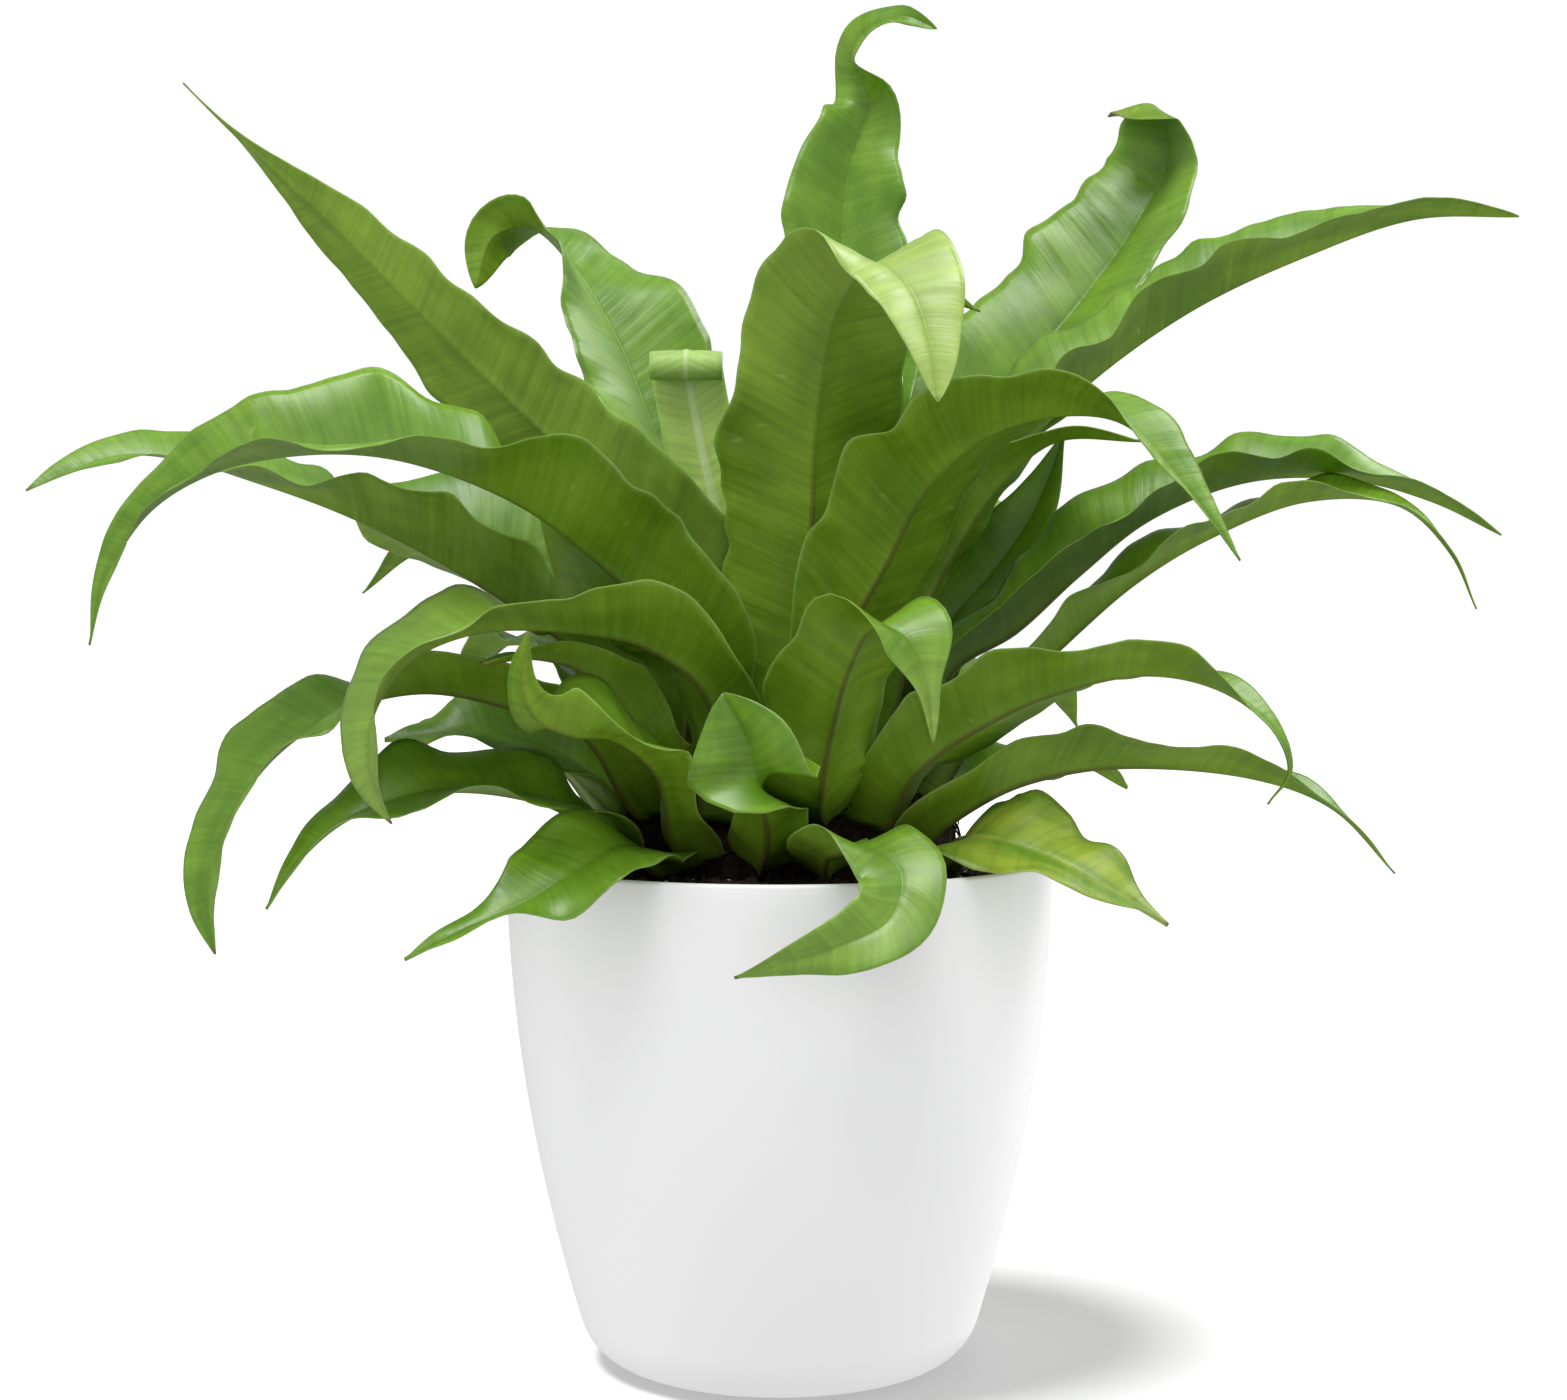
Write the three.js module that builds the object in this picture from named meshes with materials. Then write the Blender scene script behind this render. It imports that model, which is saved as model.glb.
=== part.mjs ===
// A potted bird's-nest fern: a round white pot, the potting soil in it, the dark root crown
// that stands out of the soil, and the strap-shaped fronds that spring from that crown.
// Millimetres, +Z up. The origin is the centre of the pot's underside; -Y is the plant's front.
import * as THREE from 'three';

// ---------------------------------------------------------------- driving dimensions

const POT = {
  rimRadius: 90, // outer radius at the lip
  height: 165,
  taper: 29, // how far the wall line would draw in from lip to foot
  taperPower: 1.9, // above 1 the wall bulges outwards
  cornerRadius: 20, // rounding between the flat underside and the wall
  cornerTurn: 72, // degrees of that rounding
  wall: 2.6,
  floor: 4,
  innerCorner: 4, // how far the inside rounding climbs from the floor
  wallSteps: 7, // profile points of the wall
  sides: 56, // facets round the pot and the soil
};

const SOIL = {
  gap: 0.8, // clearance to the pot's wall
  floorGap: 0.4, // clearance to the pot's floor
  edgeBelowLip: 10, // the soil meets the wall this far under the lip
  mound: 6, // and rises this much towards the middle
  moundMargin: 8, // the level top reaches this far beyond the crown
};

const CROWN = {
  centreY: 6, // the crown sits a little behind the pot's middle
  halfWidth: 60, // along X
  halfDepth: 48, // along Y
  rise: 42, // top of the crown above the soil
  gap: 0.4, // clearance to the soil
  brim: 2, // height of the upright rim at the crown's foot
  shoulder: 0.3, // the dome begins to fall away this fraction of the way out
  roundness: 2.5, // higher makes the dome's shoulder fuller
  blunting: 0.6, // lower makes its top flatter
  sides: 32,
};

const FROND = {
  thickness: 1.2,
  baseWidth: 7, // full width of the stalk-like base
  tipWidth: 2,
  baseStandoff: 3.2, // the stalk's centre line starts this far off the crown
  baseLift: 5, // and at least this far above the crown's foot
  stations: 15, // cross sections along a frond
  ripple: 2.5, // how far the wavy margins swing to either side
  waves: 3, // swings along a frond
  waveOffset: 2, // radians by which one margin runs ahead of the other
};

const COIL = {
  turn: 450, // degrees that a young frond's rolled tip goes round
  step: 45,
  innermost: 0.5, // radius at its inner end as a fraction of the outer
};

// The sizes of pot and crown that the fronds' routes were drawn round. A route point is moved
// with the real lip and crown, so a route keeps clear of them when they change.
const ROUTES_DRAWN_FOR = {
  lipRadius: 90,
  lipHeight: 165,
  crownWidth: 60,
  crownDepth: 48,
  crownRise: 42,
};

// ---------------------------------------------------------------- small helpers

const rad = THREE.MathUtils.degToRad;

function finish(color, roughness) {
  return new THREE.MeshStandardMaterial({ color, roughness, metalness: 0 });
}

const WHITE_POT = finish('#e8e8ea', 0.4);
const DARK_SOIL = finish('#33291f', 0.95);
const ROOT_CROWN = finish('#241c15', 0.95);
const LEAF_GREEN = finish('#4c7d2a', 0.45);
const LEAF_YOUNG = finish('#93b85a', 0.45);
const LEAF_OLD = finish('#86a044', 0.5);

function named(name, geometry, material) {
  const mesh = new THREE.Mesh(geometry, material);
  mesh.name = name;
  return mesh;
}

// Turns a closed or axis-to-axis profile of [radius, height] pairs about the upright axis.
function turned(profile, segments) {
  const points = profile.map(([r, z]) => new THREE.Vector2(r, z));
  return new THREE.LatheGeometry(points, segments).rotateX(Math.PI / 2);
}

// Eases from 0 to 1 as t runs from a to b.
function ease(a, b, t) {
  return THREE.MathUtils.smoothstep(t, a, b);
}

// ---------------------------------------------------------------- pot, soil and crown

// Outer radius of the pot's wall at height z.
function wallRadius(z) {
  return POT.rimRadius - POT.taper * (1 - z / POT.height) ** POT.taperPower;
}

// Height at which the bottom rounding hands over to the wall, and the radius of the flat
// underside, which lets the rounding end just at the wall.
const CORNER_TOP = POT.cornerRadius * (1 - Math.cos(rad(POT.cornerTurn)));
const FOOT_RADIUS = wallRadius(CORNER_TOP) - POT.cornerRadius * Math.sin(rad(POT.cornerTurn));

// Height at which the lip's half round starts.
const LIP_START = POT.height - POT.wall / 2;

// Heights of the wall's profile points, from above the bottom rounding to the lip.
const WALL_HEIGHTS = [];
for (let i = 1; i <= POT.wallSteps; i += 1) {
  WALL_HEIGHTS.push(CORNER_TOP + ((LIP_START - CORNER_TOP) * i) / POT.wallSteps);
}

// The pot's inside from the middle of its floor up to the height `top`, drawn in by
// `clearance` from the wall and lifted by `lift` from the floor.
function inside(clearance, lift, top) {
  const bottom = POT.floor + lift;
  const wall = (z) => [wallRadius(z) - POT.wall - clearance, z];
  return [
    [0, bottom],
    [FOOT_RADIUS - clearance, bottom],
    [FOOT_RADIUS + POT.cornerRadius / 2 - clearance, bottom + POT.innerCorner],
    ...WALL_HEIGHTS.filter((z) => z < top).map(wall),
    wall(top),
  ];
}

function pot() {
  const profile = [[0, 0]];
  const cornerSteps = 5;
  for (let i = 0; i <= cornerSteps; i += 1) {
    const turn = rad((POT.cornerTurn * i) / cornerSteps);
    profile.push([
      FOOT_RADIUS + POT.cornerRadius * Math.sin(turn),
      POT.cornerRadius * (1 - Math.cos(turn)),
    ]);
  }
  WALL_HEIGHTS.forEach((z) => profile.push([wallRadius(z), z]));
  const lipSteps = 4;
  const lipCentre = wallRadius(LIP_START) - POT.wall / 2;
  for (let i = 1; i < lipSteps; i += 1) {
    const turn = (Math.PI * i) / lipSteps;
    profile.push([
      lipCentre + (POT.wall / 2) * Math.cos(turn),
      LIP_START + (POT.wall / 2) * Math.sin(turn),
    ]);
  }
  profile.push(...inside(0, 0, LIP_START).reverse());
  return named('pot', turned(profile, POT.sides), WHITE_POT);
}

const SOIL_EDGE = POT.height - SOIL.edgeBelowLip;
const SOIL_TOP = SOIL_EDGE + SOIL.mound;

function soil() {
  const profile = inside(SOIL.gap, SOIL.floorGap, SOIL_EDGE);
  profile.push([CROWN.halfWidth + SOIL.moundMargin, SOIL_TOP]);
  profile.push([0, SOIL_TOP]);
  return named('soil', turned(profile, POT.sides), DARK_SOIL);
}

const CROWN_FOOT = SOIL_TOP + CROWN.gap;

// Share of the dome's rise that is left at the fraction rho of the way from the crown's
// middle to its edge, and the dome's height there.
function domeShare(rho) {
  return (1 - rho ** CROWN.roundness) ** CROWN.blunting;
}

function domeHeight(rho) {
  return CROWN_FOOT + CROWN.rise * domeShare(rho);
}

// The point beside the crown from which a frond starts: clock angle in degrees, 0 towards +X
// and 90 towards +Y, and the fraction rho out from the crown's middle.
function springPoint(angle, rho) {
  const steep = ease(CROWN.shoulder, 1, rho);
  const reach = rho + (FROND.baseStandoff * steep) / CROWN.halfDepth;
  return new THREE.Vector3(
    Math.cos(rad(angle)) * CROWN.halfWidth * reach,
    CROWN.centreY + Math.sin(rad(angle)) * CROWN.halfDepth * reach,
    Math.max(domeHeight(rho), CROWN_FOOT + FROND.baseLift) + FROND.baseStandoff * (1 - steep),
  );
}

// The dome is turned at radius 1 and stretched to its half width and half depth.
function crown() {
  const profile = [[0, CROWN_FOOT], [1, CROWN_FOOT], [1, CROWN_FOOT + CROWN.brim]];
  const steps = 9;
  for (let i = 1; i <= steps; i += 1) {
    const rho = Math.cos((Math.PI / 2) * (i / steps));
    profile.push([rho, domeHeight(rho)]);
  }
  const mesh = named('crown', turned(profile, CROWN.sides), ROOT_CROWN);
  mesh.geometry.scale(CROWN.halfWidth, CROWN.halfDepth, 1);
  mesh.position.y = CROWN.centreY;
  return mesh;
}

// A route point in its real place. Over the crown it spreads with the crown, beyond the lip it
// moves out with the lip, and between them it is stretched to suit; its height is kept above
// or below the lip, and goes up by `lift`.
function placed([x, y, z], lift) {
  const reach = Math.hypot(x, y);
  const [headX, headY] = [x / reach, y / reach];
  const drawn = ROUTES_DRAWN_FOR;
  const drawnEdge = Math.hypot(headX * drawn.crownWidth, headY * drawn.crownDepth);
  const edge = Math.hypot(headX * CROWN.halfWidth, headY * CROWN.halfDepth);
  let out = reach + POT.rimRadius - drawn.lipRadius;
  if (reach < drawnEdge) {
    out = (reach * edge) / drawnEdge;
  } else if (reach < drawn.lipRadius) {
    const share = (reach - drawnEdge) / (drawn.lipRadius - drawnEdge);
    out = THREE.MathUtils.lerp(edge, POT.rimRadius, share);
  }
  return new THREE.Vector3(headX * out, headY * out, z + POT.height - drawn.lipHeight + lift);
}

// ---------------------------------------------------------------- one frond

// Full width of a blade at the fraction t of its length: a stalk that swells quickly, the
// widest place at `widest`, and a tip that closes the more slenderly the higher `taper` is.
function bladeWidth(t, shape) {
  const { width, widest = 0.45, taper = 1, blunt = false } = shape;
  const swell = Math.sin((Math.PI / 2) * Math.min(t / widest, 1));
  const full = FROND.baseWidth + (width - FROND.baseWidth) * swell;
  if (blunt || t < widest) {
    return full;
  }
  const close = Math.cos((Math.PI / 2) * ((t - widest) / (1 - widest))) ** taper;
  return Math.max(full * close, FROND.tipWidth);
}

// Points of a roll of `radius` that starts at `start` going up and curls towards the side
// that faces back along `lean`, drawing in to `COIL.innermost` of its radius.
function coilPoints(start, lean, radius) {
  const back = new THREE.Vector3(-Math.cos(rad(lean)), -Math.sin(rad(lean)), 0);
  const centre = start.clone().addScaledVector(back, radius);
  const points = [];
  for (let turn = COIL.step; turn <= COIL.turn; turn += COIL.step) {
    const r = radius * THREE.MathUtils.lerp(1, COIL.innermost, turn / COIL.turn);
    points.push(centre.clone()
      .addScaledVector(back, -r * Math.cos(rad(turn)))
      .add(new THREE.Vector3(0, 0, r * Math.sin(rad(turn)))));
  }
  return points;
}

// A value that runs smoothly through the evenly spaced numbers of a short list.
function along(list, t) {
  const place = t * (list.length - 1);
  const i = Math.min(Math.floor(place), list.length - 2);
  return THREE.MathUtils.lerp(list[i], list[i + 1], ease(0, 1, place - i));
}

// A frond is one closed strip with a shallow V section. Its midrib runs from the crown
// through `route`. `lean` is the clock angle it bows towards; with no roll its upper side
// looks up and back at the crown. `roll` turns it about the midrib, degrees from stalk to
// tip. `fold` is how far each half rises from flat, in degrees, and `ripple` how far the wavy
// margins swing.
function frond(name, shape) {
  const { from, route, lean, roll = [0, 0], fold = [20, 20] } = shape;
  const { stations = FROND.stations, ripple = FROND.ripple, waves = FROND.waves } = shape;
  const lift = (CROWN.rise - ROUTES_DRAWN_FOR.crownRise) * domeShare(from[1]);
  const points = [springPoint(...from), ...route.map((point) => placed(point, lift))];
  if (shape.coil) {
    points.push(...coilPoints(points[points.length - 1], lean, shape.coil));
  }
  const midrib = new THREE.CatmullRomCurve3(points, false, 'centripetal');
  const across = new THREE.Vector3(-Math.sin(rad(lean)), Math.cos(rad(lean)), 0);
  const positions = [];
  const half = FROND.thickness / 2;
  for (let i = 0; i < stations; i += 1) {
    const t = i / (stations - 1);
    const centre = midrib.getPointAt(t);
    const tangent = midrib.getTangentAt(t);
    const side = across.clone().addScaledVector(tangent, -across.dot(tangent)).normalize();
    const face = new THREE.Vector3().crossVectors(tangent, side);
    const turn = rad(along(roll, t));
    const left = side.clone().multiplyScalar(Math.cos(turn)).addScaledVector(face, -Math.sin(turn));
    const up = face.clone().multiplyScalar(Math.cos(turn)).addScaledVector(side, Math.sin(turn));
    const reach = bladeWidth(t, shape) / 2;
    const rise = rad(along(fold, t));
    const corner = (sideways, upwards) => centre.clone()
      .addScaledVector(left, sideways)
      .addScaledVector(up, upwards);
    const edge = reach * Math.cos(rise);
    const swing = ripple * Math.sin(Math.PI * t);
    const phase = 2 * Math.PI * waves * t;
    const leftLift = reach * Math.sin(rise) + swing * Math.sin(phase);
    const rightLift = reach * Math.sin(rise) + swing * Math.sin(phase + FROND.waveOffset);
    const ring = [
      corner(edge, leftLift + half),
      corner(0, half),
      corner(-edge, rightLift + half),
      corner(-edge, rightLift - half),
      corner(0, -half),
      corner(edge, leftLift - half),
    ];
    ring.forEach((p) => positions.push(p.x, p.y, p.z));
  }
  const geometry = new THREE.BufferGeometry();
  geometry.setAttribute('position', new THREE.Float32BufferAttribute(positions, 3));
  geometry.setIndex(stripFaces(stations, 6));
  geometry.computeVertexNormals();
  return named(name, geometry, shape.finish ?? LEAF_GREEN);
}

// Triangles that join `rings` rings of `size` points each and close both ends. Points 0 to 2
// of a ring are the upper side and points 5 to 3 lie below them. The lower side is split
// along the same diagonals as the upper side, so a twisted blade keeps its thickness.
function stripFaces(rings, size) {
  const faces = [];
  for (let i = 0; i < rings - 1; i += 1) {
    for (let j = 0; j < size; j += 1) {
      const a = i * size + j;
      const b = i * size + ((j + 1) % size);
      if (j < size / 2) {
        faces.push(a, b, a + size, b, b + size, a + size);
      } else {
        faces.push(a, b, b + size, a, b + size, a + size);
      }
    }
  }
  const last = (rings - 1) * size;
  const cap = [[0, 4, 1], [0, 5, 4], [1, 3, 2], [1, 4, 3]];
  cap.forEach(([a, b, c]) => {
    faces.push(a, b, c);
    faces.push(last + a, last + c, last + b);
  });
  return faces;
}

// ---------------------------------------------------------------- the fronds

// Tall fronds from the top of the crown.
const INNER = {
  frond_upper_left: {
    from: [210, 0.34], lean: 185, width: 40, roll: [-50, -65, -70, -60, -10], fold: [25, 10, 15],
    widest: 0.4, taper: 1.3,
    route: [
      [-31, -9, 266], [-64, -22, 293], [-97, -33, 324], [-127, -39, 354], [-149, -41, 376],
      [-171, -40, 396], [-189, -38, 414],
    ],
  },
  frond_back_left: {
    from: [122, 0.4], lean: 130, width: 60, widest: 0.55, taper: 0.7, ripple: 4,
    route: [
      [-27, 24, 266], [-40, 34, 300], [-56, 46, 340], [-72, 54, 366], [-88, 59, 381],
      [-101, 59, 378], [-107, 55, 359],
    ],
  },
  frond_centre: {
    from: [290, 0.32], lean: 280, width: 60, fold: [20, 12, 25], widest: 0.4,
    taper: 0.7, ripple: 4,
    route: [
      [10, -18, 268], [12, -24, 308], [18, -37, 341], [29, -51, 355], [40, -64, 346],
      [46, -74, 327], [48, -79, 310],
    ],
  },
  frond_back_tall: {
    from: [80, 0.3], lean: 95, width: 48, roll: [0, 0, 0, 0, 0, 0, 20, 120, 220], widest: 0.5,
    taper: 0.6, stations: 20,
    route: [
      [17, 36, 303], [21, 46, 365], [24, 51, 399], [31, 52, 424], [25, 48, 440],
      [31, 42, 448], [43, 37, 451], [54, 34, 446],
    ],
  },
  frond_back_small: {
    from: [30, 0.34], lean: 60, width: 30,
    route: [[24, 14, 262], [33, 14, 298], [41, 13, 331], [53, 9, 351], [67, 6, 346]],
  },
  frond_back_right: {
    from: [52, 0.6], lean: 35, width: 60, roll: [-20, -35, -35, 10], widest: 0.6, taper: 0.5,
    route: [
      [42, 40, 282], [74, 53, 318], [104, 62, 352], [126, 66, 382], [138, 69, 406],
      [133, 62, 424], [116, 52, 420],
    ],
  },
  frond_right_long: {
    from: [12, 0.5], lean: 5, width: 54, roll: [0, -5, -10, 0], fold: [20, 35, 38, 25],
    widest: 0.5,
    route: [
      [44, 10, 258], [67, 12, 285], [98, 14, 318], [138, 14, 347], [176, 11, 365],
      [212, 6, 377], [245, 0, 377],
    ],
  },
};

// Arching fronds from the middle of the crown.
const MIDDLE = {
  frond_front_right_arch: {
    from: [305, 0.5], lean: 320, width: 56, roll: [15, 20, 5, 0], widest: 0.45,
    route: [
      [23, -24, 240], [34, -32, 262], [46, -42, 285], [64, -55, 301], [86, -65, 307],
      [105, -72, 304], [122, -76, 286], [140, -76, 262],
    ],
  },
  frond_right_slim: {
    from: [348, 0.5], lean: 345, width: 32, roll: [20, 25, 10],
    route: [[49, -1, 250], [60, -3, 271], [73, -6, 289], [90, -14, 302], [116, -30, 301]],
  },
  frond_right_short: {
    from: [29, 0.78], lean: 35, width: 34, roll: [-20, -30],
    route: [[57, 28, 240], [71, 31, 257], [83, 32, 273], [92, 33, 291], [98, 33, 308]],
  },
  frond_left_trough: {
    from: [215, 0.55], lean: 200, width: 60, widest: 0.4, taper: 1.2,
    fold: [15, 15, 20, 35, 38, 35, 30, 20],
    roll: [-45, -50, -50, -15, 25, 30, 28, 25, 25],
    route: [
      [-30, -34, 235], [-50, -47, 256], [-75, -60, 277], [-98, -68, 288], [-122, -74, 294],
      [-147, -77, 294], [-171, -76, 289], [-192, -72, 277], [-207, -66, 256], [-213, -62, 236],
    ],
  },
  frond_far_left: {
    from: [192, 0.6], lean: 186, width: 46, roll: [-20, -32, -25, 25, 35], taper: 0.8,
    route: [
      [-48, -4, 220], [-72, -8, 238], [-97, -11, 255], [-122, -13, 269], [-146, -15, 280],
      [-172, -17, 289], [-192, -19, 295], [-211, -21, 297], [-226, -24, 293], [-242, -28, 285],
    ],
  },
  frond_left_glossy: {
    from: [172, 0.6], lean: 178, width: 58, roll: [15, 40, 48, 35, 20],
    route: [[-50, 18, 237], [-76, 24, 260], [-102, 25, 274], [-128, 24, 281], [-155, 22, 282]],
  },
};

// Low fronds from the crown's edge, right side.
const LOW_RIGHT = {
  frond_right_mid: {
    from: [5, 0.72], lean: 355, width: 44, fold: [25, 38, 35, 20], roll: [0, -15, -15, 0],
    widest: 0.5,
    route: [
      [56, 4, 226], [78, 4, 240], [99, 0, 259], [122, -5, 277], [154, -10, 289],
      [187, -15, 289], [212, -18, 282], [234, -20, 271],
    ],
  },
  frond_right_under: {
    from: [348, 0.78], lean: 352, width: 32, roll: [0, -10], fold: [20, 25, 20], taper: 1.4,
    route: [
      [62, -10, 207], [92, -13, 236], [115, -17, 256], [138, -21, 270], [170, -25, 282],
      [199, -30, 280], [214, -34, 265], [222, -36, 247],
    ],
  },
  frond_front_right_low: {
    from: [306, 0.88], lean: 325, width: 42, roll: [15, 25, 15, 0], widest: 0.28, taper: 1.2,
    route: [
      [40, -44, 195], [56, -52, 207], [82, -64, 221], [112, -74, 228], [134, -80, 223],
      [149, -82, 211], [154, -80, 198], [148, -78, 188],
    ],
  },
  frond_right_low: {
    from: [318, 0.94], lean: 345, width: 38, roll: [10, 20, 10, 0], widest: 0.28, taper: 1.3,
    route: [
      [52, -32, 182], [74, -30, 191], [104, -28, 197], [150, -34, 194], [176, -36, 184],
      [196, -36, 163],
    ],
  },
  frond_rim_right: {
    from: [328, 1], lean: 322, width: 42, roll: [-10, -25, -20, 0], fold: [15, 10, 15],
    widest: 0.4, finish: LEAF_OLD,
    route: [[62, -50, 176], [84, -67, 171], [103, -76, 161], [118, -78, 152]],
  },
};

// Low fronds from the crown's edge, front.
const LOW_FRONT = {
  frond_front_tall: {
    from: [285, 0.85], lean: 292, width: 42, widest: 0.42,
    route: [
      [12, -54, 190], [16, -66, 211], [21, -76, 230], [28, -83, 242], [38, -89, 239],
      [44, -92, 224], [46, -92, 207],
    ],
  },
  frond_front_short: {
    from: [265, 0.98], lean: 258, width: 36, roll: [0, 0, 0, 40, 180, 180, 180],
    widest: 0.7, taper: 0.7,
    route: [[-3, -64, 181], [-6, -77, 195], [-10, -83, 208], [-17, -85, 222]],
  },
  frond_rim_front: {
    from: [283, 1], lean: 275, width: 27, roll: [0, 0, -5, -15], fold: [20, 15, 8, 8],
    route: [
      [16, -76, 174], [28, -92, 176], [36, -103, 169], [32, -110, 157], [18, -113, 150],
      [2, -112, 145], [-13, -110, 140],
    ],
  },
};

// Low fronds from the crown's edge, left side.
const LOW_LEFT = {
  frond_front_left_arch: {
    from: [246, 0.85], lean: 215, width: 48, roll: [-10, -15, 0, 0], widest: 0.55, ripple: 4,
    taper: 0.8,
    route: [
      [-22, -54, 220], [-40, -66, 236], [-62, -76, 241], [-90, -86, 241], [-110, -92, 232],
      [-121, -93, 215], [-122, -91, 199], [-116, -88, 183],
    ],
  },
  frond_left_drooping: {
    from: [217, 0.85], lean: 200, width: 40, roll: [-10, -20, 15, 25], widest: 0.6, taper: 0.8,
    route: [
      [-62, -36, 208], [-88, -45, 218], [-112, -52, 222], [-136, -57, 216], [-157, -60, 201],
      [-171, -61, 180], [-177, -60, 160], [-175, -58, 140],
    ],
  },
  frond_left_streaked: {
    from: [202, 0.85], lean: 192, width: 34, roll: [20, 35, 20],
    route: [[-70, -9, 198], [-95, -13, 207], [-128, -20, 205]],
  },
  frond_left_low: {
    from: [213, 0.98], lean: 205, width: 40, roll: [5, 25, 10], widest: 0.4, taper: 1.2,
    route: [
      [-62, -42, 182], [-84, -52, 190], [-108, -58, 191], [-133, -63, 183], [-148, -65, 170],
      [-158, -65, 155],
    ],
  },
  frond_left_small: {
    from: [233, 0.8], lean: 215, width: 24, roll: [-20, -30, 0],
    route: [[-46, -46, 213], [-60, -54, 228], [-76, -60, 233], [-92, -65, 231]],
  },
  frond_rim_left: {
    from: [236, 1], lean: 230, width: 40, roll: [0, 20, 20, 0], fold: [15, 12, 20],
    widest: 0.5, taper: 1.2,
    route: [
      [-49, -72, 175], [-61, -85, 169], [-75, -95, 161], [-92, -102, 154], [-110, -104, 145],
    ],
  },
  frond_front_left_twisted: {
    from: [242, 0.97], lean: 228, width: 32, roll: [0, 30, 30, -20, -60], widest: 0.45,
    route: [
      [-37, -70, 198], [-49, -85, 209], [-60, -97, 213], [-70, -106, 219], [-76, -110, 230],
      [-82, -112, 243],
    ],
  },
};

// Fronds of the side turned away from the front; they complete the rosette.
const REAR = {
  frond_rear_right: {
    from: [68, 0.72], lean: 60, width: 48,
    route: [[50, 72, 248], [75, 115, 276], [95, 152, 282], [110, 185, 262]],
  },
  frond_rear_middle: {
    from: [93, 0.66], lean: 88, width: 52,
    route: [[8, 80, 262], [12, 130, 296], [16, 175, 300], [20, 215, 276]],
  },
  frond_rear_left: {
    from: [127, 0.68], lean: 112, width: 50,
    route: [[-38, 72, 250], [-52, 115, 277], [-66, 152, 277], [-78, 182, 254]],
  },
  frond_rear_far_left: {
    from: [152, 0.68], lean: 145, width: 46,
    route: [[-66, 58, 244], [-98, 86, 268], [-130, 110, 270], [-158, 128, 252]],
  },
  frond_rear_upright: {
    from: [100, 0.86], lean: 100, width: 42, ripple: 4,
    route: [[-6, 84, 226], [-12, 124, 244], [-17, 160, 240], [-21, 188, 215]],
  },
  frond_rear_short_left: {
    from: [138, 0.86], lean: 132, width: 42,
    route: [[-60, 62, 212], [-86, 92, 232], [-108, 120, 231], [-124, 140, 212]],
  },
  frond_rear_short_right: {
    from: [52, 0.88], lean: 50, width: 40,
    route: [[56, 52, 205], [78, 80, 222], [98, 106, 220], [112, 124, 202]],
  },
  frond_rear_low_right: {
    from: [35, 0.95], lean: 32, width: 38,
    route: [[80, 54, 190], [104, 70, 193], [126, 84, 182]],
  },
  frond_rear_low_middle: {
    from: [78, 0.95], lean: 72, width: 40,
    route: [[28, 90, 202], [42, 130, 207], [55, 165, 182]],
  },
  frond_rear_low_left: {
    from: [112, 0.95], lean: 118, width: 40,
    route: [[-40, 88, 203], [-62, 122, 208], [-82, 154, 186]],
  },
  frond_rear_low_far_left: {
    from: [152, 0.95], lean: 152, width: 36,
    route: [[-84, 42, 200], [-114, 60, 204], [-142, 76, 190]],
  },
};

// Young fronds that still carry their tip as a roll: after the route's last point the midrib
// curls towards its upper side, with `coil` as the roll's radius.
const CROZIERS = {
  crozier_left: {
    from: [174, 0.28], lean: 90, width: 24, coil: 5.5, widest: 0.3, blunt: true, stations: 24,
    ripple: 0,
    fold: [10, 10, 0, 0], finish: LEAF_YOUNG,
    route: [[-17, 8, 260], [-25, 8, 295], [-31, 7, 327]],
  },
  crozier_right: {
    from: [352, 0.3], lean: 90, width: 15, coil: 4.5, widest: 0.3, blunt: true, stations: 24,
    ripple: 0,
    fold: [10, 10, 0, 0], finish: LEAF_YOUNG,
    route: [[22, 1, 260], [28, 0, 290], [33, -1, 319]],
  },
};

// ---------------------------------------------------------------- assembly

const plant = new THREE.Group();
plant.name = 'potted_fern';
plant.add(pot(), soil(), crown());
for (const group of [INNER, MIDDLE, LOW_RIGHT, LOW_FRONT, LOW_LEFT, REAR, CROZIERS]) {
  for (const [name, shape] of Object.entries(group)) {
    plant.add(frond(name, shape));
  }
}

export default plant;
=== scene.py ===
# %% [markdown]
# # A potted bird's-nest fern
#
# A round white pot holds dark potting soil. A fibrous root crown stands out of the soil, and
# about forty strap-shaped fronds spring from that crown: glossy above, matter below, pleated
# across, with wavy margins. The CAD part gives every piece its place and size. Each frond
# there is a plain folded strip, and here it gets the shape and finish of a leaf. All shapes
# are worked out in millimetres and turned into metres when a mesh is made.

# %% The frame
import math

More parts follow.
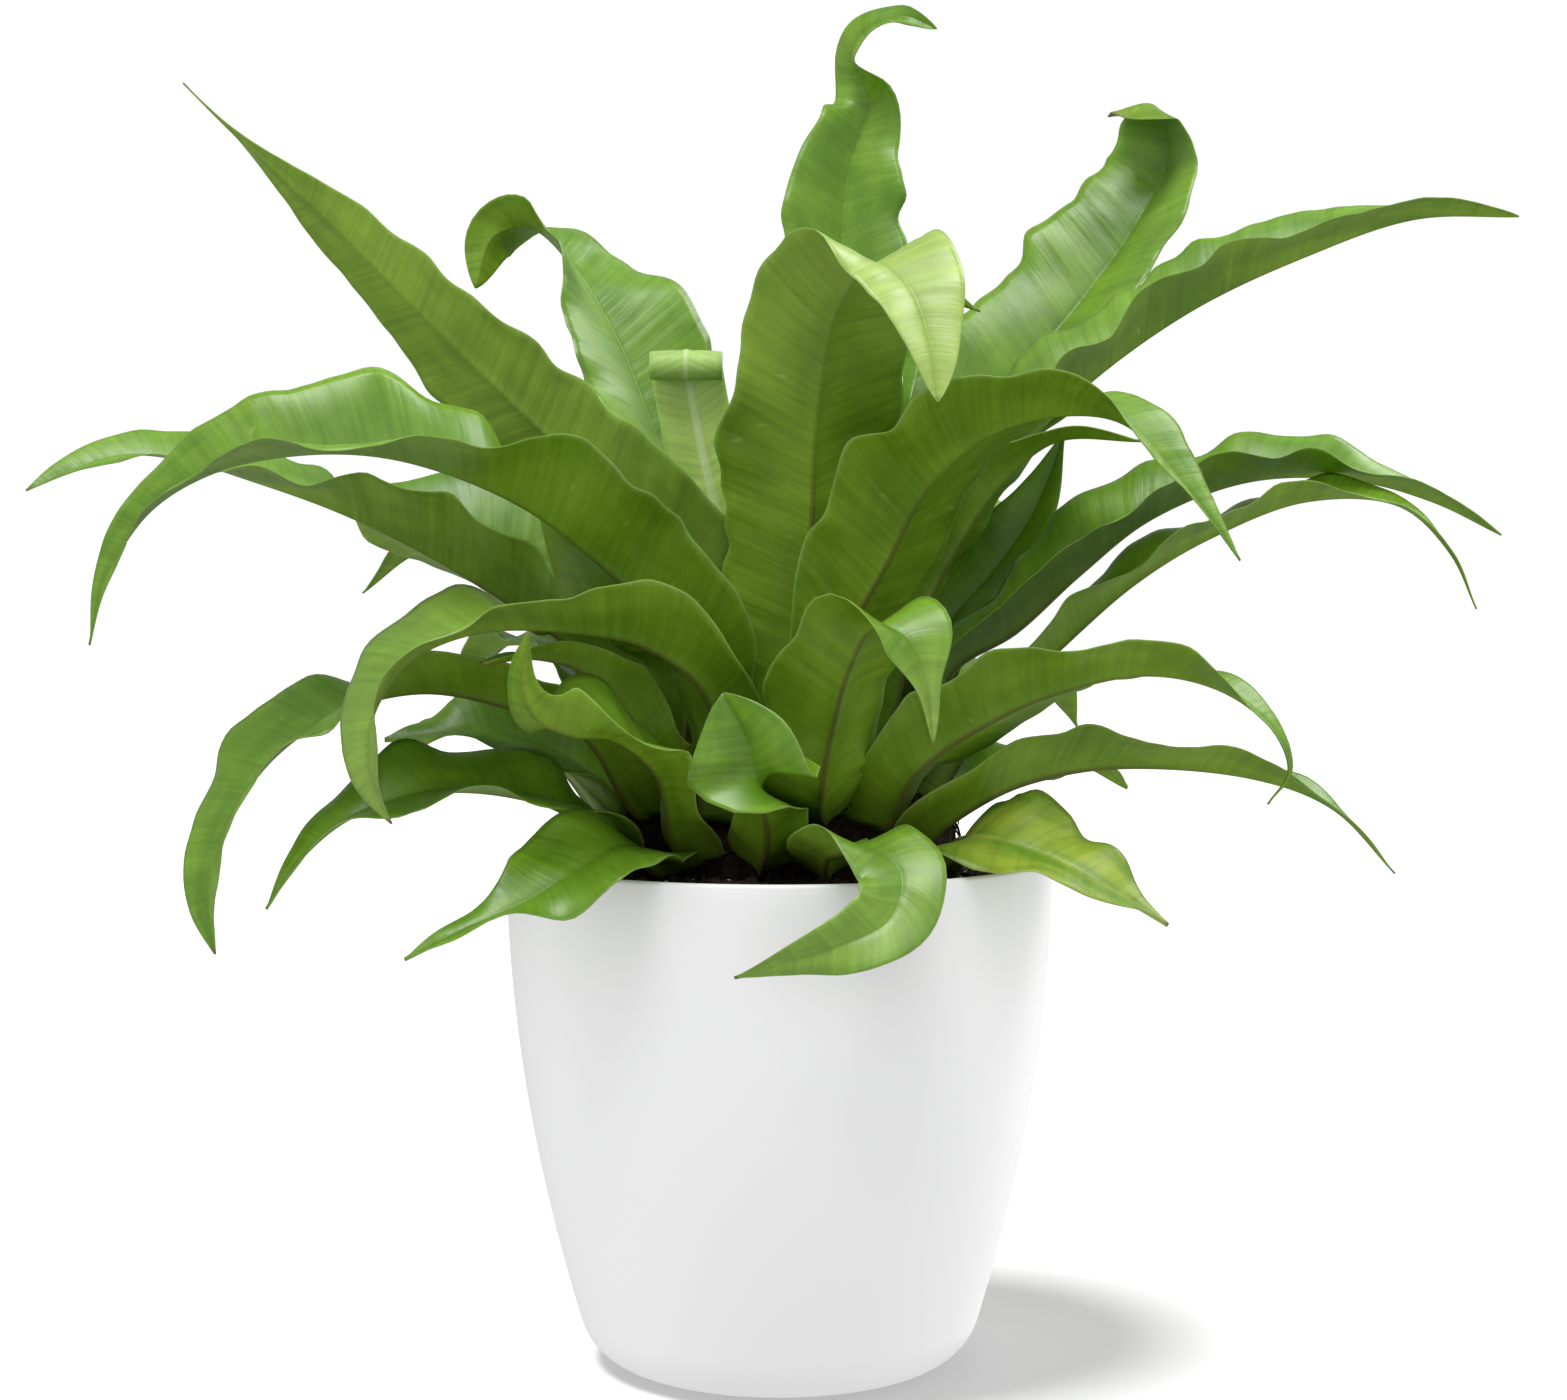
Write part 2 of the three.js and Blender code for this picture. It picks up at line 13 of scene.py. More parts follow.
import bpy
import numpy as np
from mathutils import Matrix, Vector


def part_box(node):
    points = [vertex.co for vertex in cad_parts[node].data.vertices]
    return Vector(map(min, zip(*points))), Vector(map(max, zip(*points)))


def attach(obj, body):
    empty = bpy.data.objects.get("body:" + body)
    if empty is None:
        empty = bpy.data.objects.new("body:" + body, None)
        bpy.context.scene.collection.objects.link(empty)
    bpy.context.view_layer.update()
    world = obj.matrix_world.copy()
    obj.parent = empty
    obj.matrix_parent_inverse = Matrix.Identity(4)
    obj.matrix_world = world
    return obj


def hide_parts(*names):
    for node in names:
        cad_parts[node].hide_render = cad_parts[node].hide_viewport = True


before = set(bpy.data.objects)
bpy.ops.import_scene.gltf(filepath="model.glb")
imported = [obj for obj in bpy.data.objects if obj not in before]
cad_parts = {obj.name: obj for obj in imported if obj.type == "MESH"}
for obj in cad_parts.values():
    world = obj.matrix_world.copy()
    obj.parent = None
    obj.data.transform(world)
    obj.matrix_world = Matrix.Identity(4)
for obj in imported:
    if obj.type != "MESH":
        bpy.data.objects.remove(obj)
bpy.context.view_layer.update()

MM = 0.001

# seeds of the random draws
SOIL_SEED = 11
CRUMB_SEED = 12
CROWN_SEED = 21
FIBRE_SEED = 22
FROND_SEED = 100

# %% [markdown]
# ## Small helpers
#
# A surface here is a grid of points worked out as whole arrays. A tube-like grid has closed
# rings of points, one ring per station along it. Irregularity comes from sums of a few sine
# waves with seeded phases: smooth, cheap and the same on every run.


# %% Grids, meshes and smooth irregularity
def smooth(low, high, x):
    """Eases from 0 to 1 while x runs from low to high: 3t^2 - 2t^3 of the clipped share t."""
    share = np.clip((np.asarray(x, float) - low) / (high - low), 0, 1)
    return share * share * (3 - 2 * share)


def ring_faces(rings, size):
    """Four-cornered faces that join `rings` closed rings of `size` points, ring after ring."""
    i, j = np.meshgrid(np.arange(rings - 1), np.arange(size), indexing="ij")
    a = i * size + j
    b = i * size + (j + 1) % size
    return np.stack([a, b, b + size, a + size], -1).reshape(-1, 4)


def closed_tube_faces(rings, size):
    """The same faces and, at both ends, a fan of triangles to a point that closes the tube.
    These two points follow the rings' own: the first ring's, then the last ring's."""
    j = np.arange(size)
    k = (j + 1) % size
    first = rings * size
    start = np.stack([np.full(size, first), k, j], -1)
    end = np.stack([np.full(size, first + 1), first - size + j, first - size + k], -1)
    return ring_faces(rings, size).tolist() + start.tolist() + end.tolist()


def add_mesh(name, points, faces):
    """A smooth-shaded object at the origin from points in millimetres and lists of corners."""
    mesh = bpy.data.meshes.new(name)
    mesh.from_pydata((np.asarray(points) * MM).tolist(), [], faces)
    mesh.validate()
    mesh.shade_smooth()
    piece = bpy.data.objects.new(name, mesh)
    bpy.context.scene.collection.objects.link(piece)
    return piece


def stands_for(piece, nodes):
    """The piece rides on the part's only body in place of CAD nodes, which it hides."""
    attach(piece, "root")
    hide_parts(*nodes)


def wander(rng, at, lengths, waves=4):
    """A smooth random line along `at`, about -1 to 1: the mean of sine waves whose lengths
    are drawn between the two `lengths` and whose phases are random."""
    length = rng.uniform(*lengths, waves)
    phase = rng.uniform(0, 2 * np.pi, waves)
    swings = np.sin(2 * np.pi * np.asarray(at)[..., None] / length + phase)
    return swings.sum(-1) / math.sqrt(waves)


def lumps(rng, points, size, waves=24):
    """Smooth random bumps in space, about -1 to 1: sine waves of lengths near `size` that
    run through the points in random directions."""
    heading = rng.normal(size=(waves, 3))
    heading /= np.linalg.norm(heading, axis=1)[:, None]
    heading /= size * rng.uniform(0.6, 1.6, waves)[:, None]
    phase = rng.uniform(0, 2 * np.pi, waves)
    swings = np.sin(2 * np.pi * points @ heading.T + phase)
    return swings.sum(-1) / math.sqrt(waves)


# %% [markdown]
# ## Shader graphs
#
# A material is a graph of nodes. Sums and products read best as plain expressions, so a
# socket is wrapped in a class whose operators add the Math nodes. Every other node is made
# by one method, which sets the node's own settings first and then its sockets.


# %% Sockets with arithmetic
class Value:
    """A node's output that takes part in arithmetic, as in `0.75 + 0.2 * noise`."""

    def __init__(self, graph, socket):
        self.graph = graph
        self.socket = socket

    def out(self, name):
        """Another output of the same node."""
        return Value(self.graph, self.socket.node.outputs[name])

    def math(self, operation, *others):
        values = dict(enumerate((self, *others)))
        return self.graph.node("Math", {"operation": operation}, values)

    def __add__(self, other):
        return self.math("ADD", other)

    def __mul__(self, other):
        return self.math("MULTIPLY", other)

    def __sub__(self, other):
        return self.math("SUBTRACT", other)

    def __truediv__(self, other):
        return self.math("DIVIDE", other)

    __radd__ = __add__
    __rmul__ = __mul__

    def size(self):
        return self.math("ABSOLUTE")

    def eased(self, low, high):
        """0 below `low`, 1 above `high` and smooth between; reversed where low > high."""
        settings = {"interpolation_type": "SMOOTHSTEP"}
        turned = low > high
        limits = {1: min(low, high), 2: max(low, high)}
        ends = {3: 1.0, 4: 0.0} if turned else {3: 0.0, 4: 1.0}
        return self.graph.node("MapRange", settings, {0: self, **limits, **ends})


class Graph:
    """The nodes of one new material with one Principled shader."""

    def __init__(self, name):
        self.material = bpy.data.materials.new(name)
        self.material.use_nodes = True
        self.tree = self.material.node_tree
        self.tree.nodes.clear()

    def node(self, kind, settings=None, sockets=None, output=0):
        """Adds a node, then its settings, then its sockets."""
        made = self.tree.nodes.new("ShaderNode" + kind)
        for name, value in (settings or {}).items():
            setattr(made, name, value)
        for name, value in (sockets or {}).items():
            if isinstance(value, Value):
                self.tree.links.new(value.socket, made.inputs[name])
            else:
                made.inputs[name].default_value = value
        return Value(self, made.outputs[output]) if made.outputs else None

    def attribute(self, name):
        """The three numbers of a vector attribute."""
        read = self.node("Attribute", {"attribute_name": name}, output="Vector")
        parts = self.node("SeparateXYZ", None, {0: read})
        return parts, parts.out("Y"), parts.out("Z")

    def place(self):
        """Object coordinates, in metres in the part's own frame."""
        return self.node("TexCoord", output="Object")

    def vector(self, x, y, z):
        return self.node("CombineXYZ", None, {0: x, 1: y, 2: z})

    def noise(self, at, scale, detail=2.0, rough=0.5):
        sockets = {"Vector": at, "Scale": scale, "Detail": detail, "Roughness": rough}
        return self.node("TexNoise", None, sockets)

    def grain(self, x, y, z, detail, rough=0.5):
        """Noise of unit scale at three numbers of one's own."""
        return self.noise(self.vector(x, y, z), 1.0, detail, rough)

    def blend(self, share, first, second):
        """The colour `first` where share is 0 and `second` where it is 1."""
        colours = {}
        for number, colour in ((6, first), (7, second)):
            colours[number] = colour if isinstance(colour, Value) else (*colour, 1)
        return self.node("Mix", {"data_type": "RGBA"}, {0: share, **colours}, 2)

    def shaded(self, colour, factor):
        """A colour made lighter or darker by a factor that varies over the surface."""
        at = {0: colour, "Scale": factor}
        return self.node("VectorMath", {"operation": "SCALE"}, at)

    def bump(self, height, strength, distance):
        at = {"Height": height, "Strength": strength, "Distance": distance}
        return self.node("Bump", None, at)

    def finish(self, sockets):
        """The Principled shader with these sockets, as the material's surface."""
        shader = self.node("BsdfPrincipled", None, sockets)
        self.node("OutputMaterial", None, {"Surface": shader})
        return self.material


# %% [markdown]
# ## The pot
#
# A moulded plastic pot: satin, almost white, with a thin rounded lip and a bulging wall that
# draws in to a rounded foot. Its wall line is a formula, so it is made as a turned profile,
# like a bowl on a lathe, with enough facets that no edge shows. The finish is nearly plain;
# a very weak noise in roughness and height keeps its sheen from looking computed.

# %% Sizes shared by pot and soil
LIP_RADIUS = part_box("pot")[1].x / MM
POT_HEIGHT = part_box("pot")[1].z / MM
WALL_DRAW_IN = 29.0
WALL_POWER = 1.9
CORNER_RADIUS = 20.0
CORNER_TURN = math.radians(72)
WALL = 2.6
FLOOR = 4.0
POT_SIDES = 160


def wall_radius(z):
    """The wall's outer radius: the lip's, less a draw-in that grows as a power of depth."""
    return LIP_RADIUS - WALL_DRAW_IN * np.abs(1 - z / POT_HEIGHT) ** WALL_POWER


CORNER_TOP = CORNER_RADIUS * (1 - math.cos(CORNER_TURN))
FOOT_RADIUS = wall_radius(CORNER_TOP) - CORNER_RADIUS * math.sin(CORNER_TURN)


def turned(radii, heights, sides):
    """Turns a profile that starts and ends on the upright axis. Every profile point off the
    axis is a ring, radius * (cos, sin) of the clock angle, and the two ends are single
    points joined to the rings by triangles."""
    angle = np.linspace(0, 2 * np.pi, sides, endpoint=False)
    ring_r = np.asarray(radii[1:-1], float)[:, None]
    ring_z = np.repeat(np.asarray(heights[1:-1], float)[:, None], sides, 1)
    rings = np.stack([ring_r * np.cos(angle), ring_r * np.sin(angle), ring_z], -1)
    ends = [[0, 0, heights[0]], [0, 0, heights[-1]]]
    return np.vstack([rings.reshape(-1, 3), ends]), closed_tube_faces(len(rings), sides)


# %% The pot's finish
def plastic():
    g = Graph("satin_white_plastic")
    place = g.place()
    grain = g.noise(place, 900.0, 3.0)
    cloud = g.noise(place, 18.0, 2.0)
    colour = g.blend(cloud, (0.74, 0.74, 0.745), (0.76, 0.76, 0.765))
    roughness = 0.34 + 0.10 * g.noise(place, 60.0, 3.0)
    return g.finish(
        {
            "Base Color": colour,
            "Roughness": roughness,
            "IOR": 1.46,
            "Sheen Weight": 0.30,
            "Sheen Roughness": 0.45,
            "Normal": g.bump(grain, 0.10, 0.0002),
        }
    )


# %% The pot's shape
def make_pot():
    turn = np.linspace(0, CORNER_TURN, 14)
    corner_r = FOOT_RADIUS + CORNER_RADIUS * np.sin(turn)
    corner_z = CORNER_RADIUS * (1 - np.cos(turn))
    wall_z = np.linspace(CORNER_TOP, POT_HEIGHT - WALL / 2, 42)[1:]
    lip_turn = np.linspace(0, np.pi, 11)[1:-1]
    lip_r = wall_radius(wall_z[-1]) - WALL / 2 + WALL / 2 * np.cos(lip_turn)
    lip_z = wall_z[-1] + WALL / 2 * np.sin(lip_turn)
    inner_turn = np.linspace(np.pi / 2, 0, 8)
    inner_z = wall_z[wall_z > FLOOR + CORNER_RADIUS][::-1]
    inner_r = wall_radius(inner_z) - WALL
    floor_r = inner_r[-1] - CORNER_RADIUS + CORNER_RADIUS * np.sin(inner_turn)
    floor_z = FLOOR + CORNER_RADIUS - CORNER_RADIUS * np.cos(inner_turn)
    radii = [0, FOOT_RADIUS / 2, *corner_r, *wall_radius(wall_z), *lip_r, *inner_r]
    heights = [0, 0, *corner_z, *wall_z, *lip_z, *inner_z]
    radii += [*floor_r[1:], 0]
    heights += [*floor_z[1:], FLOOR]
    points, faces = turned(radii, heights, POT_SIDES)
    piece = add_mesh("pot_shell", points, faces)
    piece.data.materials.append(plastic())
    stands_for(piece, ["pot"])
    print("pot: lip radius", LIP_RADIUS, "mm, height", POT_HEIGHT, "mm,", len(faces), "faces")


make_pot()

# %% [markdown]
# ## The soil
#
# Dark peat with bark crumbs and a few pale specks of perlite. The body of the soil is a
# turned solid whose top is pushed up and down by lumps of two sizes. Loose crumbs give it
# the broken outline that bump alone can't: small rounded lumps, each an octahedron split
# once, scattered by a seeded draw and merged in one mesh.

# %% Sizes of soil and crown
SOIL_EDGE = POT_HEIGHT - 10.0
SOIL_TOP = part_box("soil")[1].z / MM
SOIL_LEVEL_RADIUS = 68.0
SOIL_GAP = 0.8
SOIL_EDGE_RADIUS = float(wall_radius(SOIL_EDGE)) - WALL - SOIL_GAP
SOIL_FOOT = FLOOR + 1.0
SOIL_FOOT_RADIUS = FOOT_RADIUS - 4.0
SOIL_SIDES = 150
SOIL_SINK = 0.6
crown_low, crown_high = (np.array(corner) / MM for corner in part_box("crown"))
CROWN_MIDDLE = (crown_low + crown_high) / 2
CROWN_HALF = (crown_high - crown_low) / 2
CROWN_FOOT = crown_low[2]
CROWN_RISE = crown_high[2] - crown_low[2]
DOME_ROUNDNESS = 2.5
DOME_BLUNTING = 0.6


def soil_level(reach):
    """Height of the soil at a distance from the pot's axis, level but for its outer part."""
    rise = smooth(SOIL_EDGE_RADIUS, SOIL_LEVEL_RADIUS, reach)
    return SOIL_EDGE + (SOIL_TOP - SOIL_EDGE) * rise


def dome_height(share):
    """Height of the crown's dome at a share of the way from its middle to its edge."""
    flat = np.clip(1 - np.asarray(share, float) ** DOME_ROUNDNESS, 0, 1)
    return CROWN_FOOT + CROWN_RISE * flat**DOME_BLUNTING


# %% The finish of soil and roots
def matted(name, scales, dark, light, strand, mixed, rough, relief, **fixed):
    """A dark stuff with lighter patches and thin strands. `scales` are those of patches and
    strands, `mixed` the limits of the patches, the limits of the strands and their
    strength, `rough` the least roughness and its spread, and `relief` the strands' share
    in the height, then the bump's strength and distance."""
    g = Graph(name)
    place = g.place()
    coarse = g.noise(place, *scales[0])
    fine = g.noise(place, *scales[1])
    colour = g.blend(coarse.eased(*mixed[:2]), dark, light)
    colour = g.blend(fine.eased(*mixed[2:4]) * mixed[4], colour, strand)
    roughness = rough[0] + rough[1] * fine
    normal = g.bump(coarse + fine * relief[0], *relief[1:])
    return g.finish({"Base Color": colour, "Roughness": roughness, **fixed, "Normal": normal})


def perlite():
    g = Graph("perlite")
    grain = g.noise(g.place(), 1800.0, 3.0, 0.6)
    colour = g.blend(grain, (0.38, 0.35, 0.31), (0.72, 0.70, 0.66))
    normal = g.bump(grain, 0.5, 0.0008)
    return g.finish({"Base Color": colour, "Roughness": 0.85, "Normal": normal})


PEAT = matted(
    "peat", ((260.0, 4.0, 0.6), (1400.0, 3.0, 0.6)), dark=(0.010, 0.006, 0.004),
    light=(0.050, 0.030, 0.020), strand=(0.13, 0.085, 0.055),
    mixed=(0.35, 0.7, 0.60, 0.74, 0.55), rough=(0.75, 0.2), relief=(0.4, 0.7, 0.0016),
)
PERLITE = perlite()


# %% The soil's body
def make_soil():
    wall_z = np.linspace(CORNER_TOP + 6, SOIL_EDGE, 30)
    wall_r = wall_radius(wall_z) - WALL - SOIL_GAP
    top_r = SOIL_EDGE_RADIUS * np.linspace(1, 0, 44)[1:-1]
    radii = [0, SOIL_FOOT_RADIUS, *wall_r, *top_r, 0]
    heights = [SOIL_FOOT, SOIL_FOOT, *wall_z, *soil_level(top_r), SOIL_TOP]
    points, faces = turned(radii, heights, SOIL_SIDES)
    rng = np.random.default_rng(SOIL_SEED)
    free = smooth(SOIL_EDGE - 6, SOIL_EDGE, points[:, 2])
    reach = np.hypot(points[:, 0], points[:, 1])
    free *= 1 - smooth(SOIL_EDGE_RADIUS - 5, SOIL_EDGE_RADIUS, reach) * 0.8
    swell = 0.9 * lumps(rng, points, 14.0) + 0.5 * lumps(rng, points, 5.0)
    points[:, 2] += free * (swell - SOIL_SINK)
    piece = add_mesh("soil_body", points, faces)
    piece.data.materials.append(PEAT)
    stands_for(piece, ["soil"])
    print("soil:", len(faces), "faces, edge radius", round(SOIL_EDGE_RADIUS, 1), "mm")


make_soil()


# %% Crumbs and perlite
def lump_shape():
    """A unit octahedron split once and rounded: 18 points, 32 triangles."""
    tips = np.vstack([np.eye(3), -np.eye(3)])
    upper = [[0, 1, 2], [1, 3, 2], [3, 4, 2], [4, 0, 2]]
    lower = [[1, 0, 5], [3, 1, 5], [4, 3, 5], [0, 4, 5]]
    corners = upper + lower
    edges = sorted({tuple(sorted((c[k], c[k - 1]))) for c in corners for k in range(3)})
    middle = {edge: 6 + number for number, edge in enumerate(edges)}
    halves = np.array([tips[a] + tips[b] for a, b in edges]) / math.sqrt(2)
    faces = []
    for a, b, c in corners:
        ab, bc, ca = (middle[tuple(sorted(pair))] for pair in ((a, b), (b, c), (c, a)))
        faces += [[a, ab, ca], [ab, b, bc], [ca, bc, c], [ab, bc, ca]]
    return np.vstack([tips, halves]), np.array(faces)


def scattered(name, rng, count, sizes, ring, sink):
    """Copies of the lump on the soil: a random size per axis, a random turn, and a place
    drawn evenly between the two radii of `ring`. `sink` is how far a lump is sunk in, as a
    share of its size."""
    shape, corners = lump_shape()
    angle = rng.uniform(0, 2 * np.pi, count)
    reach = np.sqrt(rng.uniform(ring[0] ** 2, ring[1] ** 2, count))
    size = rng.uniform(*sizes, (count, 1, 1)) * rng.uniform(0.55, 1.0, (count, 1, 3))
    turn, _ = np.linalg.qr(rng.normal(size=(count, 3, 3)))
    turn *= np.sign(np.linalg.det(turn))[:, None, None]
    lump = (shape * size * (1 + 0.15 * rng.normal(size=(count, len(shape), 1)))) @ turn
    height = soil_level(reach) - SOIL_SINK + size.mean((1, 2)) * (1 - sink)
    centre = np.stack([reach * np.cos(angle), reach * np.sin(angle), height], -1)
    points = (lump + centre[:, None]).reshape(-1, 3)
    faces = (corners[None] + np.arange(count)[:, None, None] * len(shape)).reshape(-1, 3)
    return add_mesh(name, points, faces.tolist())


def make_crumbs():
    rng = np.random.default_rng(CRUMB_SEED)
    ring = (44, SOIL_EDGE_RADIUS - 2)
    crumbs = scattered("soil_crumbs", rng, 2600, (0.5, 2.2), ring, 0.5)
    crumbs.data.materials.append(PEAT)
    specks = scattered("soil_perlite", rng, 240, (0.5, 1.2), ring, 0.2)
    specks.data.materials.append(PERLITE)
    for piece in (crumbs, specks):
        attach(piece, "root")
        print(piece.name, len(piece.data.polygons), "faces")


make_crumbs()

# %% [markdown]
# ## The root crown
#
# The fern's short stem is hidden in a dark felt of wiry roots and the scales of old frond
# bases. Its body is the CAD part's dome with coarse lumps; over it lie some four hundred
# wiry fibres, thin tubes that leave the dome and bend back to it, merged in one mesh.


# %% The crown's finish
ROOT_FELT = matted(
    "root_felt", ((190.0, 4.0, 0.65), (1100.0, 3.0, 0.6)), dark=(0.005, 0.003, 0.002),
    light=(0.030, 0.017, 0.010), strand=(0.10, 0.06, 0.035),
    mixed=(0.3, 0.75, 0.58, 0.75, 0.4), rough=(0.7, 0.25), relief=(0.5, 0.8, 0.002),
    **{"Specular IOR Level": 0.10},
)


# %% The crown's body
def on_dome(share, angle, off=0.0):
    """The point of the dome at a share of the way out and a clock angle in radians, moved
    `off` millimetres away from the dome's middle."""
    steep = smooth(0.3, 1, share)
    flat = share + off * steep / CROWN_HALF[1]
    x = CROWN_MIDDLE[0] + CROWN_HALF[0] * flat * np.cos(angle)
    y = CROWN_MIDDLE[1] + CROWN_HALF[1] * flat * np.sin(angle)
    return np.stack([x, y, dome_height(share) + off * (1 - steep)], -1)


def make_crown():
    rng = np.random.default_rng(CROWN_SEED)
    share = np.sin(np.linspace(np.pi / 2, 0, 46))[:-1]
    angle = np.linspace(0, 2 * np.pi, 140, endpoint=False)
    share_grid, angle_grid = np.meshgrid(share, angle, indexing="ij")
    rings = on_dome(share_grid, angle_grid)
    swell = 1.6 * lumps(rng, rings, 16.0) + 0.9 * lumps(rng, rings, 5.0)
    outward = rings - (CROWN_MIDDLE * [1, 1, 0] + [0, 0, CROWN_FOOT])
    outward /= np.linalg.norm(outward, axis=-1)[..., None]
    rings += outward * (swell[..., None] - 1.0) * smooth(1, 0.9, share)[:, None, None]
    foot = rings[:1] * [0.98, 0.98, 1] - [0, 0, 3.0]
    rings = np.concatenate([foot, rings])
    ends = [foot.mean((0, 1)), rings[-1].mean(0)]
    points = np.vstack([rings.reshape(-1, 3), ends])
    faces = closed_tube_faces(len(rings), len(angle))
    piece = add_mesh("crown_body", points, faces)
    piece.data.materials.append(ROOT_FELT)
    stands_for(piece, ["crown"])
    print("crown:", len(faces), "faces")


make_crown()


# %% Wiry fibres
def make_fibres(count=420, rings=9, sides=5):
    """Each fibre runs over the dome from one clock place to another, bulging off it as a
    half sine, and carries a small round section that thins to both ends."""
    rng = np.random.default_rng(FIBRE_SEED)
    t = np.linspace(0, 1, rings)
    start = rng.uniform(0.55, 1.02, count)
    angle = rng.uniform(0, 2 * np.pi, count)
    share = start[:, None] + (rng.uniform(-0.3, 0.12, count)[:, None]) * t
    turn = angle[:, None] + rng.uniform(-0.5, 0.5, count)[:, None] * t
    off = rng.uniform(1.0, 4.5, count)[:, None] * np.sin(np.pi * t) - 0.8
    line = on_dome(np.clip(share, 0.05, 1.0), turn, off)
    line[..., :2] += (line[..., :2] - CROWN_MIDDLE[:2]) * (np.clip(share, 1, 2) - 1)[..., None]
    along_line = np.gradient(line, axis=1)
    along_line /= np.linalg.norm(along_line, axis=-1)[..., None]
    side = np.cross(along_line, [0.0, 0.0, 1.0])
    side /= np.linalg.norm(side, axis=-1)[..., None] + 1e-9
    up = np.cross(side, along_line)
    thick = rng.uniform(0.18, 0.5, count)[:, None] * (0.25 + 0.75 * np.sin(np.pi * t))
    ring_angle = np.linspace(0, 2 * np.pi, sides, endpoint=False)
    section = side[..., None, :] * np.cos(ring_angle)[:, None]
    section = section + up[..., None, :] * np.sin(ring_angle)[:, None]
    points = line[..., None, :] + section * thick[..., None, None]
    one = ring_faces(rings, sides)
    step = rings * sides
    faces = (one[None] + np.arange(count)[:, None, None] * step).reshape(-1, 4).tolist()
    first = np.arange(count)[:, None] * step
    faces += (first + np.arange(sides)[::-1]).tolist()
    faces += (first + step - sides + np.arange(sides)).tolist()
    piece = add_mesh("crown_fibres", points.reshape(-1, 3), faces)
    piece.data.materials.append(ROOT_FELT)
    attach(piece, "root")
    print("fibres:", count, "with", len(faces), "faces")


make_fibres()

# %% [markdown]
# ## The fronds' finish
#
# A frond's two faces differ: the upper one is a deep glossy green, the lower one a duller
# olive. Fine veins run out from the midrib and slightly forward, so their pattern has to
# follow the leaf. Every point of a frond therefore carries two vector attributes. `leaf`
# holds the share across (-1 to 1), the share along (0 to 1) and the paleness. `span` holds
# the distance from the midrib and the distance from the base, both in metres, and a number
# of its own for each frond. The veins are noise stretched along `distance - slant * offset`.

# %% The leaf's pattern
VEIN_SLANT = 0.42
VEIN_PITCH, VEIN_LENGTH = 0.0018, 0.03
PLEAT_PITCH, PLEAT_LENGTH = 0.0062, 0.05
PATCH_LENGTH = 0.035
SPOT_LENGTH = 0.004
GLINT_LENGTH, GLINT_WIDTH = 0.012, 0.008
STALK_END, STALK_START = 0.022, 0.004
DRY_BROWN = (0.16, 0.11, 0.045)


def leaf_material(name, deep, bright, pale, rib, edge, rib_half, rib_reach, roughness, gloss):
    """One face of a leaf. `deep` and `bright` alternate in soft patches, `pale` takes over
    with the tone and `edge` colours the thin margin. `rib` colours the midrib, `rib_half`
    metres to each side at the base, most strongly up to `rib_reach` metres from there."""
    g = Graph(name)
    across, along_leaf, tone = g.attribute("leaf")
    offset, distance, seed = g.attribute("span")
    offset = offset.size()
    vein = distance - offset * VEIN_SLANT
    fine = g.grain(vein / VEIN_PITCH, offset / VEIN_LENGTH, seed * 40, 3.0, 0.6)
    pleat = g.grain(vein / PLEAT_PITCH, offset / PLEAT_LENGTH, seed * 23, 1.0)
    patch = g.grain(distance / PATCH_LENGTH, across * 1.3, seed * 61, 3.0, 0.55)
    colour = g.blend(patch.eased(0.32, 0.68), deep, bright)
    colour = g.blend(tone, colour, pale)
    # the fine veins streak the colour as real vein lines; the pleats are painted lighter on
    # their raised ridges and darker in their furrows, painted shade of the bump's relief
    colour = g.shaded(colour, 0.56 + fine * 0.64 + pleat * 0.28)
    spots = g.grain(distance / SPOT_LENGTH, across * 3.0, seed * 90, 2.0).eased(0.70, 0.80)
    colour = g.blend(spots * 0.22, colour, pale)
    stalk = distance.eased(STALK_END, STALK_START)
    colour = g.blend(stalk * 0.2, colour, rib)
    rib_width = (along_leaf * -0.6 + 1.0) * rib_half
    near = (offset / rib_width).eased(1.4, 0.5)
    shown = distance.eased(rib_reach, rib_reach * 0.35)
    colour = g.blend(near * (0.12 + 0.58 * shown), colour, rib)
    margin = across.size().eased(0.955, 0.99)
    colour = g.blend(margin * 0.55, colour, edge)
    dry = along_leaf.eased(0.985, 1.0) * seed.eased(0.35, 0.6)
    colour = g.blend(dry * 0.8, colour, DRY_BROWN)
    height = fine * 0.35 + pleat * 1.3
    glint = g.grain(distance / GLINT_LENGTH, offset / GLINT_WIDTH, seed * 17, 3.0)
    return g.finish(
        {
            "Base Color": colour,
            "Roughness": roughness + 0.14 * (glint - 0.5) + 0.20 * (fine - 0.5),
            "Specular IOR Level": gloss,
            "Subsurface Weight": 0.12,
            "Subsurface Radius": (0.4, 1.0, 0.1),
            "Subsurface Scale": 0.001,
            "Normal": g.bump(height, 0.75, 0.0006),
        }
    )


# %% Three ages of leaf
GREEN_PALE = (0.44, 0.56, 0.15)
GREEN_EDGE = (0.24, 0.36, 0.09)
OLD_PALE = (0.42, 0.50, 0.12)
OLD_EDGE = (0.30, 0.30, 0.10)
GLOSS_ABOVE = 0.60
GLOSS_BELOW = 0.26

